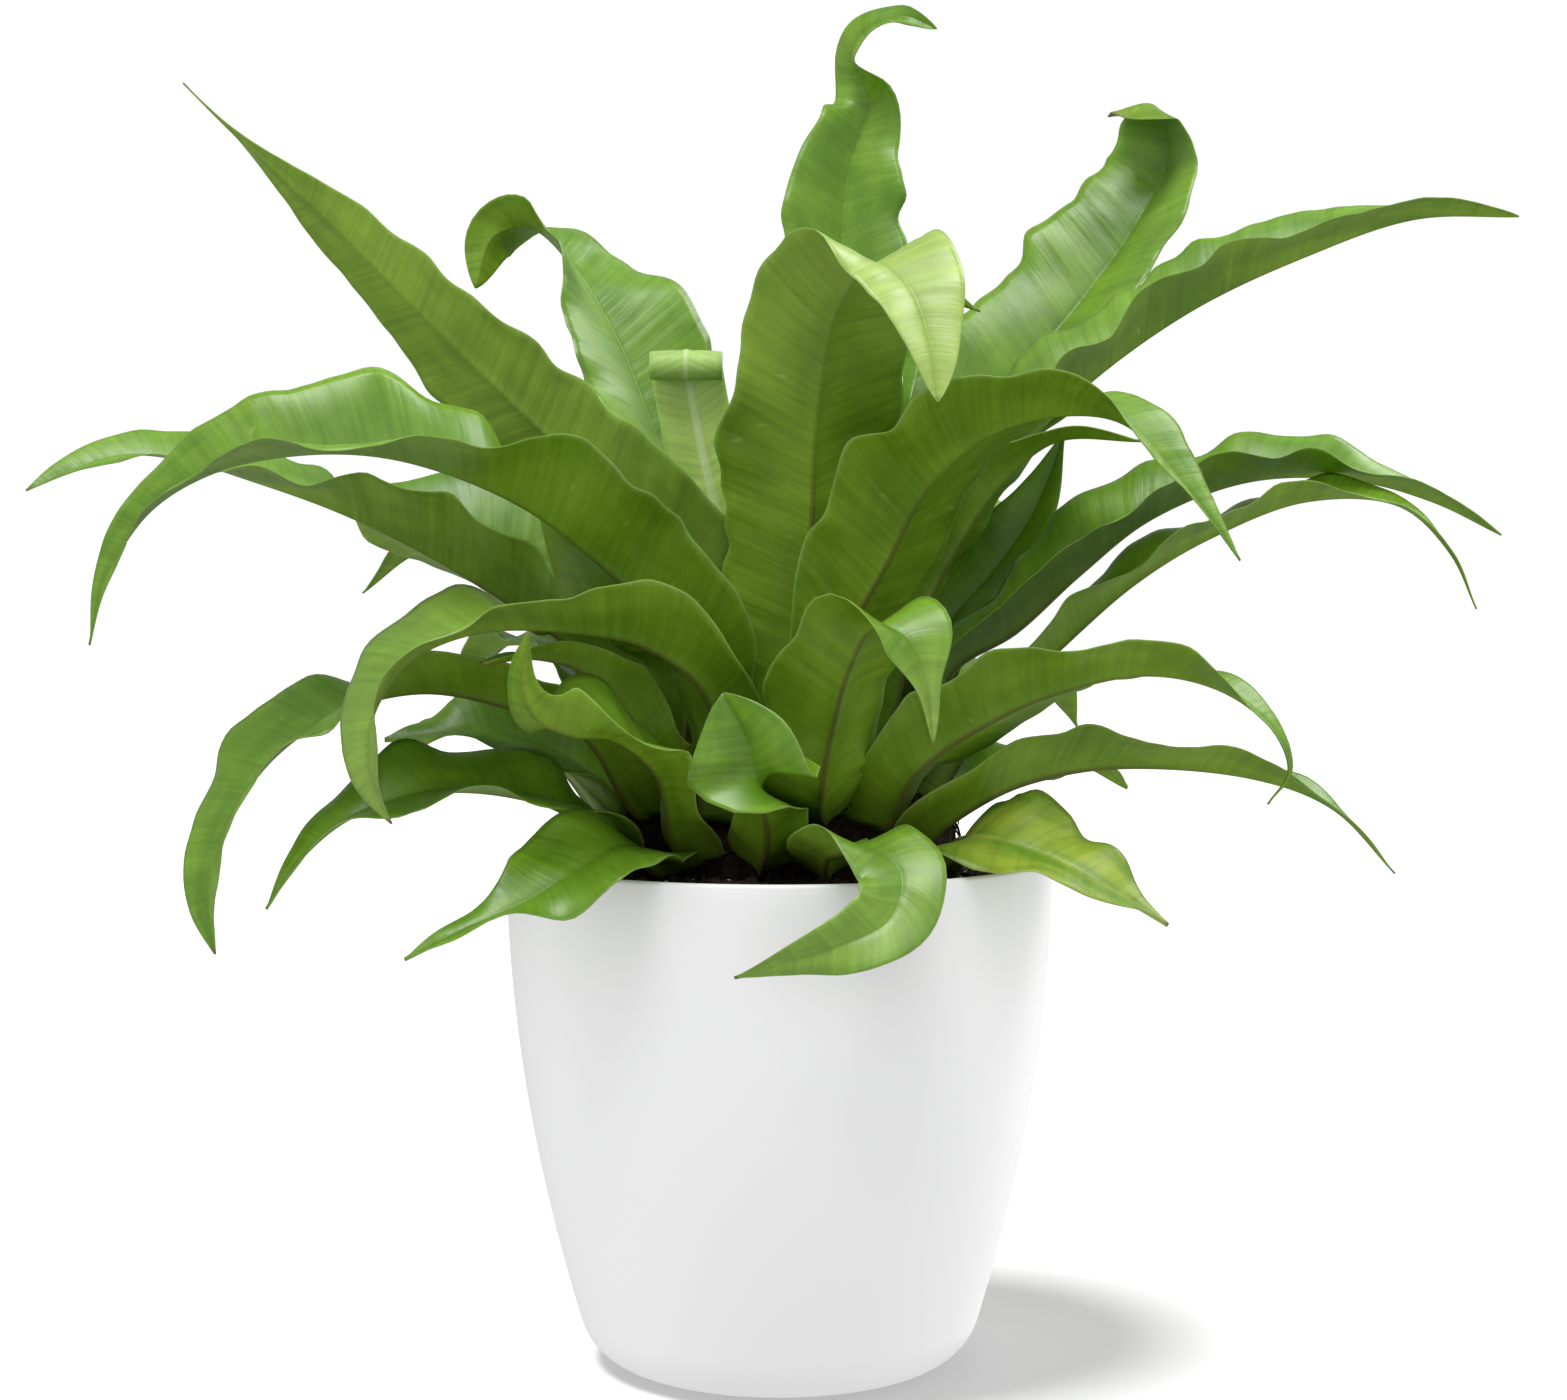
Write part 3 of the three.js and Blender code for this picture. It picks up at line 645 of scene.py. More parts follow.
# each has its upper face first and its underside second
LEAF_LOOKS = {
    "leaf_green": (
        leaf_material(
            "leaf_green_upper", deep=(0.092, 0.215, 0.007), bright=(0.155, 0.305, 0.016),
            pale=GREEN_PALE, rib=(0.06, 0.14, 0.008), edge=GREEN_EDGE,
            rib_half=0.0012, rib_reach=0.05, roughness=0.38, gloss=GLOSS_ABOVE,
        ),
        leaf_material(
            "leaf_green_under", deep=(0.100, 0.200, 0.006), bright=(0.155, 0.270, 0.013),
            pale=GREEN_PALE, rib=(0.080, 0.052, 0.018), edge=GREEN_EDGE,
            rib_half=0.0012, rib_reach=0.13, roughness=0.46, gloss=GLOSS_BELOW,
        ),
    ),
    "leaf_young": (
        leaf_material(
            "leaf_young_upper", deep=(0.34, 0.52, 0.07), bright=(0.45, 0.63, 0.12),
            pale=(0.50, 0.66, 0.24), rib=(0.66, 0.76, 0.42), edge=(0.62, 0.74, 0.36),
            rib_half=0.0022, rib_reach=0.30, roughness=0.30, gloss=GLOSS_ABOVE,
        ),
        leaf_material(
            "leaf_young_under", deep=(0.25, 0.42, 0.09), bright=(0.33, 0.50, 0.12),
            pale=(0.46, 0.60, 0.24), rib=(0.50, 0.60, 0.30), edge=(0.50, 0.62, 0.30),
            rib_half=0.0018, rib_reach=0.30, roughness=0.42, gloss=GLOSS_BELOW,
        ),
    ),
    "leaf_old": (
        leaf_material(
            "leaf_old_upper", deep=(0.11, 0.23, 0.012), bright=(0.29, 0.38, 0.035),
            pale=OLD_PALE, rib=(0.50, 0.52, 0.12), edge=OLD_EDGE,
            rib_half=0.0014, rib_reach=0.05, roughness=0.42, gloss=GLOSS_ABOVE,
        ),
        leaf_material(
            "leaf_old_under", deep=(0.21, 0.32, 0.04), bright=(0.30, 0.40, 0.06),
            pale=OLD_PALE, rib=(0.36, 0.36, 0.10), edge=OLD_EDGE,
            rib_half=0.0014, rib_reach=0.05, roughness=0.48, gloss=GLOSS_BELOW,
        ),
    ),
}

# %% [markdown]
# ## The shape of a frond
#
# A frond starts on the dome at a clock angle and a share of the way out, and its midrib
# passes through the points of its route as a smooth spline (centripetal Catmull-Rom, the
# same as in the CAD part, so the leaf lies where its collision strip lies). The blade is a
# shallow V whose two halves bow out, and waves grow towards the margins: a large swing as
# in the CAD part, then shorter ripples and pleats of a leaf. On the underside the midrib
# stands out as a keel that thickens to a round stalk at the base.

# %% The midrib's line
BASE_WIDTH = 24.0
STANDOFF = 3.2
BASE_LIFT = 5.0
COIL_TURN = 450.0
COIL_STEP = 45.0
COIL_INNERMOST = 0.5
STATION_SPACING = 2.2
ROOT_DEPTH = 6.0
ROOT_LENGTH = 5.0


def spring_point(angle, share):
    """Where a frond starts: just off the dome, at a clock angle in degrees."""
    lift = max(0.0, CROWN_FOOT + BASE_LIFT - float(dome_height(share)))
    return on_dome(share, math.radians(angle), STANDOFF) + [0, 0, lift]


def coil_points(start, lean, radius):
    """Points of a tightening roll that leaves `start` upwards and turns back over it."""
    turn = np.arange(COIL_STEP, COIL_TURN + 1, COIL_STEP)
    shrink = radius * (1 + (COIL_INNERMOST - 1) * turn / COIL_TURN)
    back = -np.array([math.cos(math.radians(lean)), math.sin(math.radians(lean)), 0])
    centre = start + back * radius
    turn = np.radians(turn)
    up = [0, 0, 1]
    return centre - np.outer(shrink * np.cos(turn), back) + np.outer(shrink * np.sin(turn), up)


def spline(points, samples=60):
    """A dense line through the points. Each stretch is a cubic whose end slopes come from
    the neighbouring points, weighted by the square roots of the distances between them."""
    points = np.vstack([2 * points[0] - points[1], points, 2 * points[-1] - points[-2]])
    step = np.linalg.norm(np.diff(points, axis=0), axis=1)[:, None] ** 0.5
    p0, p1, p2, p3 = points[:-3], points[1:-2], points[2:-1], points[3:]
    d0, d1, d2 = step[:-2], step[1:-1], step[2:]
    slope1 = d1 * ((p1 - p0) / d0 - (p2 - p0) / (d0 + d1) + (p2 - p1) / d1)
    slope2 = d1 * ((p2 - p1) / d1 - (p3 - p1) / (d1 + d2) + (p3 - p2) / d2)
    w = np.linspace(0, 1, samples, endpoint=False)[:, None, None]
    line = (
        p1
        + slope1 * w
        + (3 * (p2 - p1) - 2 * slope1 - slope2) * w**2
        + (2 * (p1 - p2) + slope1 + slope2) * w**3
    )
    line = line.transpose(1, 0, 2).reshape(-1, 3)
    return np.vstack([line, points[-2]])


def even_line(points):
    """Evenly spaced points along the spline, their distances and their headings."""
    dense = spline(points)
    walked = np.concatenate([[0], np.cumsum(np.linalg.norm(np.diff(dense, axis=0), axis=1))])
    count = int(round(walked[-1] / STATION_SPACING)) + 1
    distance = np.linspace(0, walked[-1], count)
    line = np.stack([np.interp(distance, walked, dense[:, k]) for k in range(3)], -1)
    heading = np.gradient(line, axis=0)
    heading /= np.linalg.norm(heading, axis=1)[:, None]
    return line, distance, heading


def frond_axes(heading, lean, rolled):
    """The blade's left and upper direction per station: level across the way it leans, then
    turned about the midrib by an angle in radians."""
    turn = math.radians(lean)
    flat = np.array([-math.sin(turn), math.cos(turn), 0.0])
    side = flat - heading * (heading @ flat)[:, None]
    side /= np.linalg.norm(side, axis=1)[:, None]
    face = np.cross(heading, side)
    left = side * np.cos(rolled) - face * np.sin(rolled)
    return left, face * np.cos(rolled) + side * np.sin(rolled)


def through(values, t):
    """Runs smoothly through evenly spaced numbers, easing from each one to the next."""
    place = np.asarray(t) * (len(values) - 1)
    i = np.minimum(place.astype(int), len(values) - 2)
    values = np.asarray(values, float)
    return values[i] + (values[i + 1] - values[i]) * smooth(0, 1, place - i)


# %% The blade's outline
def blade_width(t, width, widest, taper, blunt):
    """Full width: a stalk that swells as a quarter sine to the widest place, then closes as
    a quarter cosine raised to the power `taper`; a blunt blade keeps its width."""
    full = BASE_WIDTH + (width - BASE_WIDTH) * np.sin(np.pi / 2 * np.minimum(t / widest, 1))
    if blunt:
        return full
    late = np.clip((t - widest) / (1 - widest), 0, 1)
    return np.maximum(full * np.cos(np.pi / 2 * late) ** taper, 0.8)


# Shares across one half of the blade, closer together near the midrib.
HALF_ACROSS = np.array([0, 0.03, 0.07, 0.13, 0.22, 0.33, 0.46, 0.60, 0.74, 0.88, 1.0])
ACROSS = np.concatenate([HALF_ACROSS[:0:-1], -HALF_ACROSS])


# %% Waves of the blade
WAVES = 3
WAVE_OFFSET = 2.0
LOBE_LENGTHS = (26, 52)
NICK_LENGTHS = (12, 30)
CRIMP_LENGTHS = (13, 24)
CRIMP_HEIGHT = 0.45
FULL_WAVES_FROM = 20.0
PLEAT_SPACING = 9.5
PLEAT_HEIGHT = 0.22
DRIFT_LENGTHS = (60, 90)
BOW = 0.28


def per_half(rng, s, lengths, waves):
    """A wandering line for each half of the blade, the left half's drawn first."""
    lines = [wander(rng, s, lengths, waves) for _ in range(2)]
    return np.where(ACROSS > 0, *lines)


def blade_shape(rng, t, s, half, rise, ripple, scallop, blunt):
    """The uneven half width, and how far each point lies sideways and above the midrib.

    Sideways is the share across times the half width times the cosine of the fold. Lift is
    the same times its sine, bowed out between midrib and margin, plus waves that grow as
    powers of the share across."""
    reach = np.abs(ACROSS)
    grown = 0 if blunt else np.sin(np.pi * t) ** 0.8
    lobes = per_half(rng, s, LOBE_LENGTHS, 3)
    nicks = per_half(rng, s, NICK_LENGTHS, 4)
    half = half * (1 + grown * (0.03 * nicks + 0.05 * lobes))
    share_wide = np.minimum(half / FULL_WAVES_FROM, 1)
    phase = 2 * np.pi * WAVES * t + np.where(ACROSS > 0, 0, WAVE_OFFSET)
    swing = ripple * np.sin(np.pi * t) * np.sin(phase) * reach**1.5
    short = per_half(rng, s, CRIMP_LENGTHS, 3) * CRIMP_HEIGHT * reach**3
    crimp = (lobes * scallop * reach**2.3 + short) * grown * share_wide
    vein = s - VEIN_SLANT * reach * half
    drift = wander(rng, s, DRIFT_LENGTHS) * 2
    pleat = PLEAT_HEIGHT * np.sin(2 * np.pi * vein / PLEAT_SPACING + drift)
    pleat = pleat * smooth(0.05, 0.4, reach) * (1 - 0.5 * reach) * share_wide
    bowed = reach * (1 + BOW - BOW * reach**2)
    lift = half * np.sin(rise) * bowed + swing + crimp + pleat
    return half, ACROSS * half * np.cos(rise), lift


# %% Thickness of the blade
BLADE_THICKNESS = 0.55
STALK_THICKNESS = 3.6
STALK_FADE = (4, 42)
KEEL_HEIGHT = 1.5
KEEL_FADE = (20, 190)
KEEL_LASTING = 0.35
KEEL_HALF = 1.5
GROOVE_DEPTH = 0.35
GROOVE_HALF = 0.9


def blade_depth(t, s, half):
    """The depth below the unfurrowed upper side, and that of the furrow along the midrib.
    The stalk is nearly round, and the keel thins out along the blade."""
    reach = np.abs(ACROSS)
    offset = reach * half
    stalk = (1 - smooth(*STALK_FADE, s)) * STALK_THICKNESS
    keel = KEEL_HEIGHT * (1 - smooth(*KEEL_FADE, s)) + KEEL_LASTING * (1 - t)
    keel = keel * np.exp(-((offset / KEEL_HALF) ** 2))
    groove = GROOVE_DEPTH * np.exp(-((offset / GROOVE_HALF) ** 2)) * (1 - 0.6 * t)
    thin = BLADE_THICKNESS * (1 - 0.5 * reach**4)
    return thin + keel + stalk * np.sqrt(np.clip(1 - reach**2, 0, 1)), groove


# %% One frond's surface
def frond_surface(
    rng, spring, lean, width, route, roll=(0, 0), fold=(20, 20), widest=0.45, taper=1.0,
    ripple=2.5, scallop=2.0, trim=(1, 1), coil=0.0, blunt=False, tone=(0, 0),
):
    """Points and attributes of one frond as a closed grid: per station the upper side from
    left to right, then the lower side from right to left. A point is the midrib + left *
    sideways + up * lift."""
    start = spring_point(*spring)
    points = np.vstack([start, route])
    if coil:
        points = np.vstack([points, coil_points(points[-1], lean, coil)])
    line, distance, heading = even_line(points)
    t = (distance / distance[-1])[:, None]
    left, up = frond_axes(heading, lean, np.radians(through(roll, t)))

    # the root end runs on into the crown
    inner = CROWN_MIDDLE * [1, 1, 0] + [0, 0, CROWN_FOOT - ROOT_DEPTH] - start
    line = np.vstack([start + inner / np.linalg.norm(inner) * ROOT_LENGTH, line])
    left, up, t = (np.vstack([part[:1], part]) for part in (left, up, t))
    s = np.vstack([[0], distance[:, None]])

    half = blade_width(t, width, widest, taper, blunt) * through(trim, t) / 2
    rise = np.radians(through(fold, t))
    half, sideways, lift = blade_shape(rng, t, s, half, rise, ripple, scallop, blunt)
    depth, groove = blade_depth(t, s, half)
    upper = line[:, None] + left[:, None] * sideways[..., None]
    upper = upper + up[:, None] * (lift - groove)[..., None]
    lower = upper - up[:, None] * (depth - groove)[..., None]
    grid = np.concatenate([upper, lower[:, ::-1]], 1)
    leaf = np.stack(np.broadcast_arrays(ACROSS, t, through(tone, t)), -1)
    span = np.stack(np.broadcast_arrays(sideways * MM, s * MM, rng.uniform(0, 1)), -1)
    leaf, span = (np.concatenate([part, part[:, ::-1]], 1) for part in (leaf, span))
    return grid, leaf, span


# %% A frond as an object
def make_frond(number, name, shape, look):
    """Makes the mesh of one frond, with its attributes and the two finishes of its look."""
    rng = np.random.default_rng(FROND_SEED + number)
    grid, leaf, span = frond_surface(rng, **shape)
    stations, size = grid.shape[:2]
    faces = ring_faces(stations, size)
    k = np.arange(size // 2 - 1)
    cap = np.stack([k, size - 1 - k, size - 2 - k, k + 1], -1)
    faces = np.vstack([faces, cap, cap[:, ::-1] + (stations - 1) * size])
    piece = add_mesh(name + "_leaf", grid.reshape(-1, 3), faces.tolist())
    for attribute, values in (("leaf", leaf), ("span", span)):
        layer = piece.data.attributes.new(attribute, "FLOAT_VECTOR", "POINT")
        layer.data.foreach_set("vector", values.astype(np.float32).ravel())
    for material in LEAF_LOOKS[look]:
        piece.data.materials.append(material)
    side = np.tile(np.arange(size) >= size // 2 - 1, stations - 1).astype(np.int32)
    side = np.concatenate([side, np.ones(2 * len(cap), np.int32)])
    piece.data.polygons.foreach_set("material_index", side)
    stands_for(piece, [name])
    return len(faces)


# %% [markdown]
# ## The plant
#
# The fronds stand in loose whorls: tall ones from the top of the dome, arching ones from its
# middle, low ones from its edge. Each has a clock angle and a share of the way out on the
# dome, the direction it leans to, its width, and the route of its midrib in millimetres.
# `roll` turns the blade about the midrib and `fold` is how far its halves rise, in degrees.
# `trim` widens or narrows it and `tone` makes it paler. All four are a few numbers from
# stalk to tip.

# %% Tall fronds
PLANT = {}
PLANT["frond_upper_left"] = dict(
    spring=[210, 0.34], lean=185, width=40, widest=0.4, taper=1.3, scallop=0.8,
    roll=[-50, -65, -70, -60, -10], fold=[25, 10, 15], tone=[0.12, 0.12, 0.08],
    route=[
        [-31, -9, 266], [-64, -22, 293], [-97, -33, 324], [-127, -39, 354], [-149, -41, 376],
        [-171, -40, 396], [-189, -38, 414],
    ],
)
PLANT["frond_back_left"] = dict(
    spring=[122, 0.4], lean=130, width=60, widest=0.55, taper=0.7, ripple=4,
    roll=[0, 0, 0, 0, 0, 0, 0, -15, -32, -30], trim=[1, 1, 1, 1, 1, 1, 1, 0.9, 0.8, 0.8],
    route=[
        [-27, 24, 266], [-40, 34, 300], [-56, 46, 340], [-72, 54, 366], [-88, 59, 381],
        [-101, 59, 378], [-107, 55, 359],
    ],
)
PLANT["frond_centre"] = dict(
    spring=[290, 0.32], lean=280, width=60, widest=0.4, taper=0.7, ripple=4, scallop=1.0,
    fold=[20, 12, 25], tone=[0, 0, 0, 0.1, 0.55, 0.6],
    route=[
        [10, -18, 268], [12, -24, 308], [18, -37, 341], [29, -51, 355], [40, -64, 346],
        [46, -74, 327], [48, -79, 310],
    ],
)
PLANT["frond_back_tall"] = dict(
    spring=[80, 0.3], lean=95, width=48, widest=0.5, taper=0.6, scallop=1.0,
    roll=[0, 0, 0, 0, 0, 0, 10, 75, 140], trim=[1, 1, 1, 1, 1, 1, 1, 0.8, 0.6, 0.5],
    route=[
        [17, 36, 303], [21, 46, 365], [24, 51, 399], [31, 52, 424], [25, 48, 440],
        [31, 42, 448], [43, 37, 451], [54, 34, 446],
    ],
)
PLANT["frond_back_small"] = dict(
    spring=[30, 0.34], lean=60, width=30,
    route=[[24, 14, 262], [33, 14, 298], [41, 13, 331], [53, 9, 351], [67, 6, 346]],
)
PLANT["frond_back_right"] = dict(
    spring=[52, 0.6], lean=35, width=60, widest=0.6, taper=0.5, scallop=0.8,
    roll=[-20, -35, -35, -15, 10],
    route=[
        [42, 40, 282], [74, 53, 318], [104, 62, 352], [126, 66, 382], [138, 69, 406],
        [133, 62, 424], [116, 52, 420],
    ],
)
PLANT["frond_right_long"] = dict(
    spring=[12, 0.5], lean=5, width=54, widest=0.5, taper=0.7, scallop=1.0,
    roll=[0, -5, -10, 0], fold=[20, 35, 38, 25],
    route=[
        [44, 10, 258], [67, 12, 285], [98, 14, 318], [138, 14, 347], [176, 11, 365],
        [212, 6, 377], [245, 0, 377],
    ],
)

# %% Arching fronds
PLANT["frond_front_right_arch"] = dict(
    spring=[305, 0.5], lean=320, width=56, scallop=1.2, roll=[15, 20, 5, 0],
    route=[
        [23, -24, 240], [34, -32, 262], [46, -42, 285], [64, -55, 301], [86, -65, 307],
        [105, -72, 304], [122, -76, 286], [140, -76, 262],
    ],
)
PLANT["frond_right_slim"] = dict(
    spring=[348, 0.5], lean=345, width=32, roll=[20, 25, 10],
    route=[[49, -1, 250], [60, -3, 271], [73, -6, 289], [90, -14, 302], [116, -30, 301]],
)
PLANT["frond_right_short"] = dict(
    spring=[29, 0.78], lean=35, width=34, roll=[-20, -30],
    route=[[57, 28, 240], [71, 31, 257], [83, 32, 273], [92, 33, 291], [98, 33, 308]],
)
PLANT["frond_left_trough"] = dict(
    spring=[215, 0.55], lean=200, width=60, widest=0.4, taper=1.2,
    fold=[15, 15, 20, 35, 38, 35, 30, 20],
    roll=[-45, -50, -50, -15, 25, 30, 28, 25, 25],
    route=[
        [-30, -34, 235], [-50, -47, 256], [-75, -60, 277], [-98, -68, 288], [-122, -74, 294],
        [-147, -77, 294], [-171, -76, 289], [-192, -72, 277], [-207, -66, 256], [-213, -62, 236],
    ],
)
PLANT["frond_far_left"] = dict(
    spring=[192, 0.6], lean=186, width=46, roll=[-20, -32, -25, 25, 35], taper=0.8,
    route=[
        [-48, -4, 220], [-72, -8, 238], [-97, -11, 255], [-122, -13, 269], [-146, -15, 280],
        [-172, -17, 289], [-192, -19, 295], [-211, -21, 297], [-226, -24, 293], [-242, -28, 285],
    ],
)
PLANT["frond_left_glossy"] = dict(
    spring=[172, 0.6], lean=178, width=62, scallop=1.5, roll=[15, 40, 48, 35, 20],
    route=[[-50, 18, 237], [-76, 24, 260], [-102, 25, 274], [-128, 24, 281], [-155, 22, 282]],
)

# %% Low fronds on the right
PLANT["frond_right_mid"] = dict(
    spring=[5, 0.72], lean=355, width=44, fold=[25, 38, 35, 20], roll=[0, -15, -15, 0],
    widest=0.5, taper=0.8,
    route=[
        [56, 4, 226], [78, 4, 240], [99, 0, 259], [122, -5, 277], [154, -10, 289],
        [187, -15, 289], [212, -18, 282], [234, -20, 271],
    ],
)
PLANT["frond_right_under"] = dict(
    spring=[348, 0.78], lean=352, width=32, roll=[0, -10], fold=[20, 25, 20], taper=1.4,
    route=[
        [62, -10, 207], [92, -13, 236], [115, -17, 256], [138, -21, 270], [170, -25, 282],
        [199, -30, 280], [214, -34, 265], [222, -36, 247],
    ],
)
PLANT["frond_front_right_low"] = dict(
    spring=[306, 0.88], lean=325, width=42, roll=[15, 25, 15, 0], widest=0.28, taper=1.2,
    route=[
        [40, -44, 195], [56, -52, 207], [82, -64, 221], [112, -74, 228], [134, -80, 223],
        [149, -82, 211], [154, -80, 198], [148, -78, 188],
    ],
)
PLANT["frond_right_low"] = dict(
    spring=[318, 0.94], lean=345, width=38, roll=[10, 20, 10, 0], widest=0.28, taper=1.3,
    route=[
        [52, -32, 182], [74, -30, 191], [104, -28, 197], [150, -34, 194], [176, -36, 184],
        [196, -36, 163],
    ],
)
PLANT["frond_rim_right"] = dict(
    spring=[328, 1], lean=322, width=42, roll=[-10, -25, -20, 0], fold=[15, 10, 15],
    widest=0.4, scallop=1.0,
    route=[[62, -50, 176], [84, -67, 171], [103, -76, 161], [118, -78, 152]],
)

# %% Low fronds in front
PLANT["frond_front_tall"] = dict(
    spring=[285, 0.85], lean=292, width=42, widest=0.42, tone=[0, 0, 0, 0.25],
    trim=[1, 1, 1, 1, 1, 1.15, 1.0, 0.6, 0.8],
    route=[
        [12, -54, 190], [16, -66, 211], [21, -76, 230], [28, -83, 242], [38, -89, 239],
        [44, -92, 224], [46, -92, 207],
    ],
)
PLANT["frond_front_short"] = dict(
    spring=[265, 0.98], lean=258, width=41, widest=0.62, taper=0.7,
    roll=[0, 0, 0, 40, 180, 180, 180], trim=[1, 0.8, 0.65, 0.6, 1, 1, 1],
    route=[[-3, -64, 181], [-6, -77, 195], [-10, -83, 208], [-17, -85, 222]],
)
PLANT["frond_rim_front"] = dict(
    spring=[283, 1], lean=275, width=27, roll=[0, 0, -5, -15], fold=[20, 15, 8, 8],
    tone=[0.05, 0.1],
    route=[
        [16, -76, 174], [28, -92, 176], [36, -103, 169], [32, -110, 157], [18, -113, 150],
        [2, -112, 145], [-13, -110, 140],
    ],
)

# %% Low fronds on the left
PLANT["frond_front_left_arch"] = dict(
    spring=[246, 0.85], lean=215, width=48, widest=0.55, taper=0.8, ripple=4,
    roll=[-10, -15, 0, 0], tone=[0, 0, 0.15, 0.2],
    route=[
        [-22, -54, 220], [-40, -66, 236], [-62, -76, 241], [-90, -86, 241], [-110, -92, 232],
        [-121, -93, 215], [-122, -91, 199], [-116, -88, 183],
    ],
)
PLANT["frond_left_drooping"] = dict(
    spring=[217, 0.85], lean=200, width=40, roll=[-10, -20, 15, 25], widest=0.6, taper=0.8,
    route=[
        [-62, -36, 208], [-88, -45, 218], [-112, -52, 222], [-136, -57, 216], [-157, -60, 201],
        [-171, -61, 180], [-177, -60, 160], [-175, -58, 140],
    ],
)
PLANT["frond_left_streaked"] = dict(
    spring=[202, 0.85], lean=192, width=34, roll=[20, 35, 20],
    route=[[-70, -9, 198], [-95, -13, 207], [-128, -20, 205]],
)
PLANT["frond_left_low"] = dict(
    spring=[213, 0.98], lean=205, width=40, roll=[5, 25, 10], widest=0.4, taper=1.2,
    route=[
        [-62, -42, 182], [-84, -52, 190], [-108, -58, 191], [-133, -63, 183], [-148, -65, 170],
        [-158, -65, 155],
    ],
)
PLANT["frond_left_small"] = dict(
    spring=[233, 0.8], lean=215, width=24, roll=[-20, -30, 0],
    route=[[-46, -46, 213], [-60, -54, 228], [-76, -60, 233], [-92, -65, 231]],
)
PLANT["frond_rim_left"] = dict(
    spring=[236, 1], lean=230, width=37, roll=[0, 20, 20, 0], fold=[15, 12, 20],
    widest=0.5, scallop=3.0, taper=1.2, trim=[1, 1, 1.1, 0.55, 0.9],
    route=[
        [-49, -72, 175], [-61, -85, 169], [-75, -95, 161], [-92, -102, 154], [-110, -104, 145],
    ],
)
PLANT["frond_front_left_twisted"] = dict(
    spring=[242, 0.97], lean=228, width=33, scallop=1.8, roll=[0, 30, 30, -20, -60],
    trim=[1, 0.85, 0.85, 1.2, 1.45, 1.1, 0.8, 1],
    route=[
        [-37, -70, 198], [-49, -85, 209], [-61, -97, 211], [-71, -104, 216],
        [-75, -108, 227], [-73, -111, 241],
    ],
)

# %% [markdown]
# Fronds of the side turned away from the front complete the rosette.

# %% Fronds at the back
# name, [clock angle, share of the way out], direction of lean, width and route
REAR = [
    ("right", [68, 0.72], 60, 48,
     [[50, 72, 248], [75, 115, 276], [95, 152, 282], [110, 185, 262]]),
    ("middle", [93, 0.66], 88, 52,
     [[8, 80, 262], [12, 130, 296], [16, 175, 300], [20, 215, 276]]),
    ("left", [127, 0.68], 112, 50,
     [[-38, 72, 250], [-52, 115, 277], [-66, 152, 277], [-78, 182, 254]]),
    ("far_left", [152, 0.68], 145, 46,
     [[-66, 58, 244], [-98, 86, 268], [-130, 110, 270], [-158, 128, 252]]),
    ("upright", [100, 0.86], 100, 42,
     [[-6, 84, 226], [-12, 124, 244], [-17, 160, 240], [-21, 188, 215]]),
    ("short_left", [138, 0.86], 132, 42,
     [[-60, 62, 212], [-86, 92, 232], [-108, 120, 231], [-124, 140, 212]]),
    ("short_right", [52, 0.88], 50, 40,
     [[56, 52, 205], [78, 80, 222], [98, 106, 220], [112, 124, 202]]),
    ("low_right", [35, 0.95], 32, 38, [[80, 54, 190], [104, 70, 193], [126, 84, 182]]),
    ("low_middle", [78, 0.95], 72, 40, [[28, 90, 202], [42, 130, 207], [55, 165, 182]]),
    ("low_left", [112, 0.95], 118, 40, [[-40, 88, 203], [-62, 122, 208], [-82, 154, 186]]),
    ("low_far_left", [152, 0.95], 152, 36, [[-84, 42, 200], [-114, 60, 204], [-142, 76, 190]]),
]
for name, spring, lean, width, route in REAR:
    PLANT["frond_rear_" + name] = dict(spring=spring, lean=lean, width=width, route=route)
PLANT["frond_rear_upright"]["ripple"] = 4

# %% [markdown]
# Young fronds still carry their tip as a roll: after the route's last point the midrib
# curls towards its upper side, with `coil` as the roll's radius. Both are otherwise alike.

# %% Young fronds
YOUNG = dict(
    lean=90, widest=0.3, blunt=True, ripple=0, fold=[10, 10, 0, 0], tone=[0.2, 0.2],
)
PLANT["crozier_left"] = dict(
    spring=[174, 0.28], width=24, coil=5.5,
    route=[[-17, 8, 260], [-25, 8, 295], [-31, 7, 327]], **YOUNG,
)
PLANT["crozier_right"] = dict(
    spring=[352, 0.3], width=15, coil=4.5,
    route=[[22, 1, 260], [28, 0, 290], [33, -1, 319]], **YOUNG,
)

# %% Making the plant
LOOK_OF = {
    "crozier_left": "leaf_young",
    "crozier_right": "leaf_young",
    "frond_rim_right": "leaf_old",
}

total = sum(
    make_frond(number, name, shape, LOOK_OF.get(name, "leaf_green"))
    for number, (name, shape) in enumerate(PLANT.items())
)
print(len(PLANT), "fronds with", total, "faces")

# %% [markdown]
# ## Floor, light and camera
#
# A plain white floor in an even white surround, as in a studio. Two soft square lamps model
# the plant, a strong one high in front, a little to the left, and a weaker one high on the
# right behind. Both spare the floor, which has a sun of its own that lays the pot's soft
# shadow to the right. Two low suns from either side give the pot its round look.


# %% The floor
FLOOR_HALF = 6000.0


def make_floor():
    corners = FLOOR_HALF * np.array([[-1, -1, 0], [1, -1, 0], [1, 1, 0], [-1, 1, 0]])
    floor = add_mesh("floor", corners, [[0, 1, 2, 3]])
    g = Graph("floor_white")
    cloud = g.noise(g.place(), 0.7)
    colour = g.blend(cloud, (0.67, 0.67, 0.67), (0.68, 0.68, 0.68))
    floor.data.materials.append(g.finish({"Base Color": colour, "Roughness": 0.9}))
    # the floor shows, but throws no light back on the undersides of the leaves
    floor.visible_diffuse = False
    floor.visible_glossy = False


make_floor()


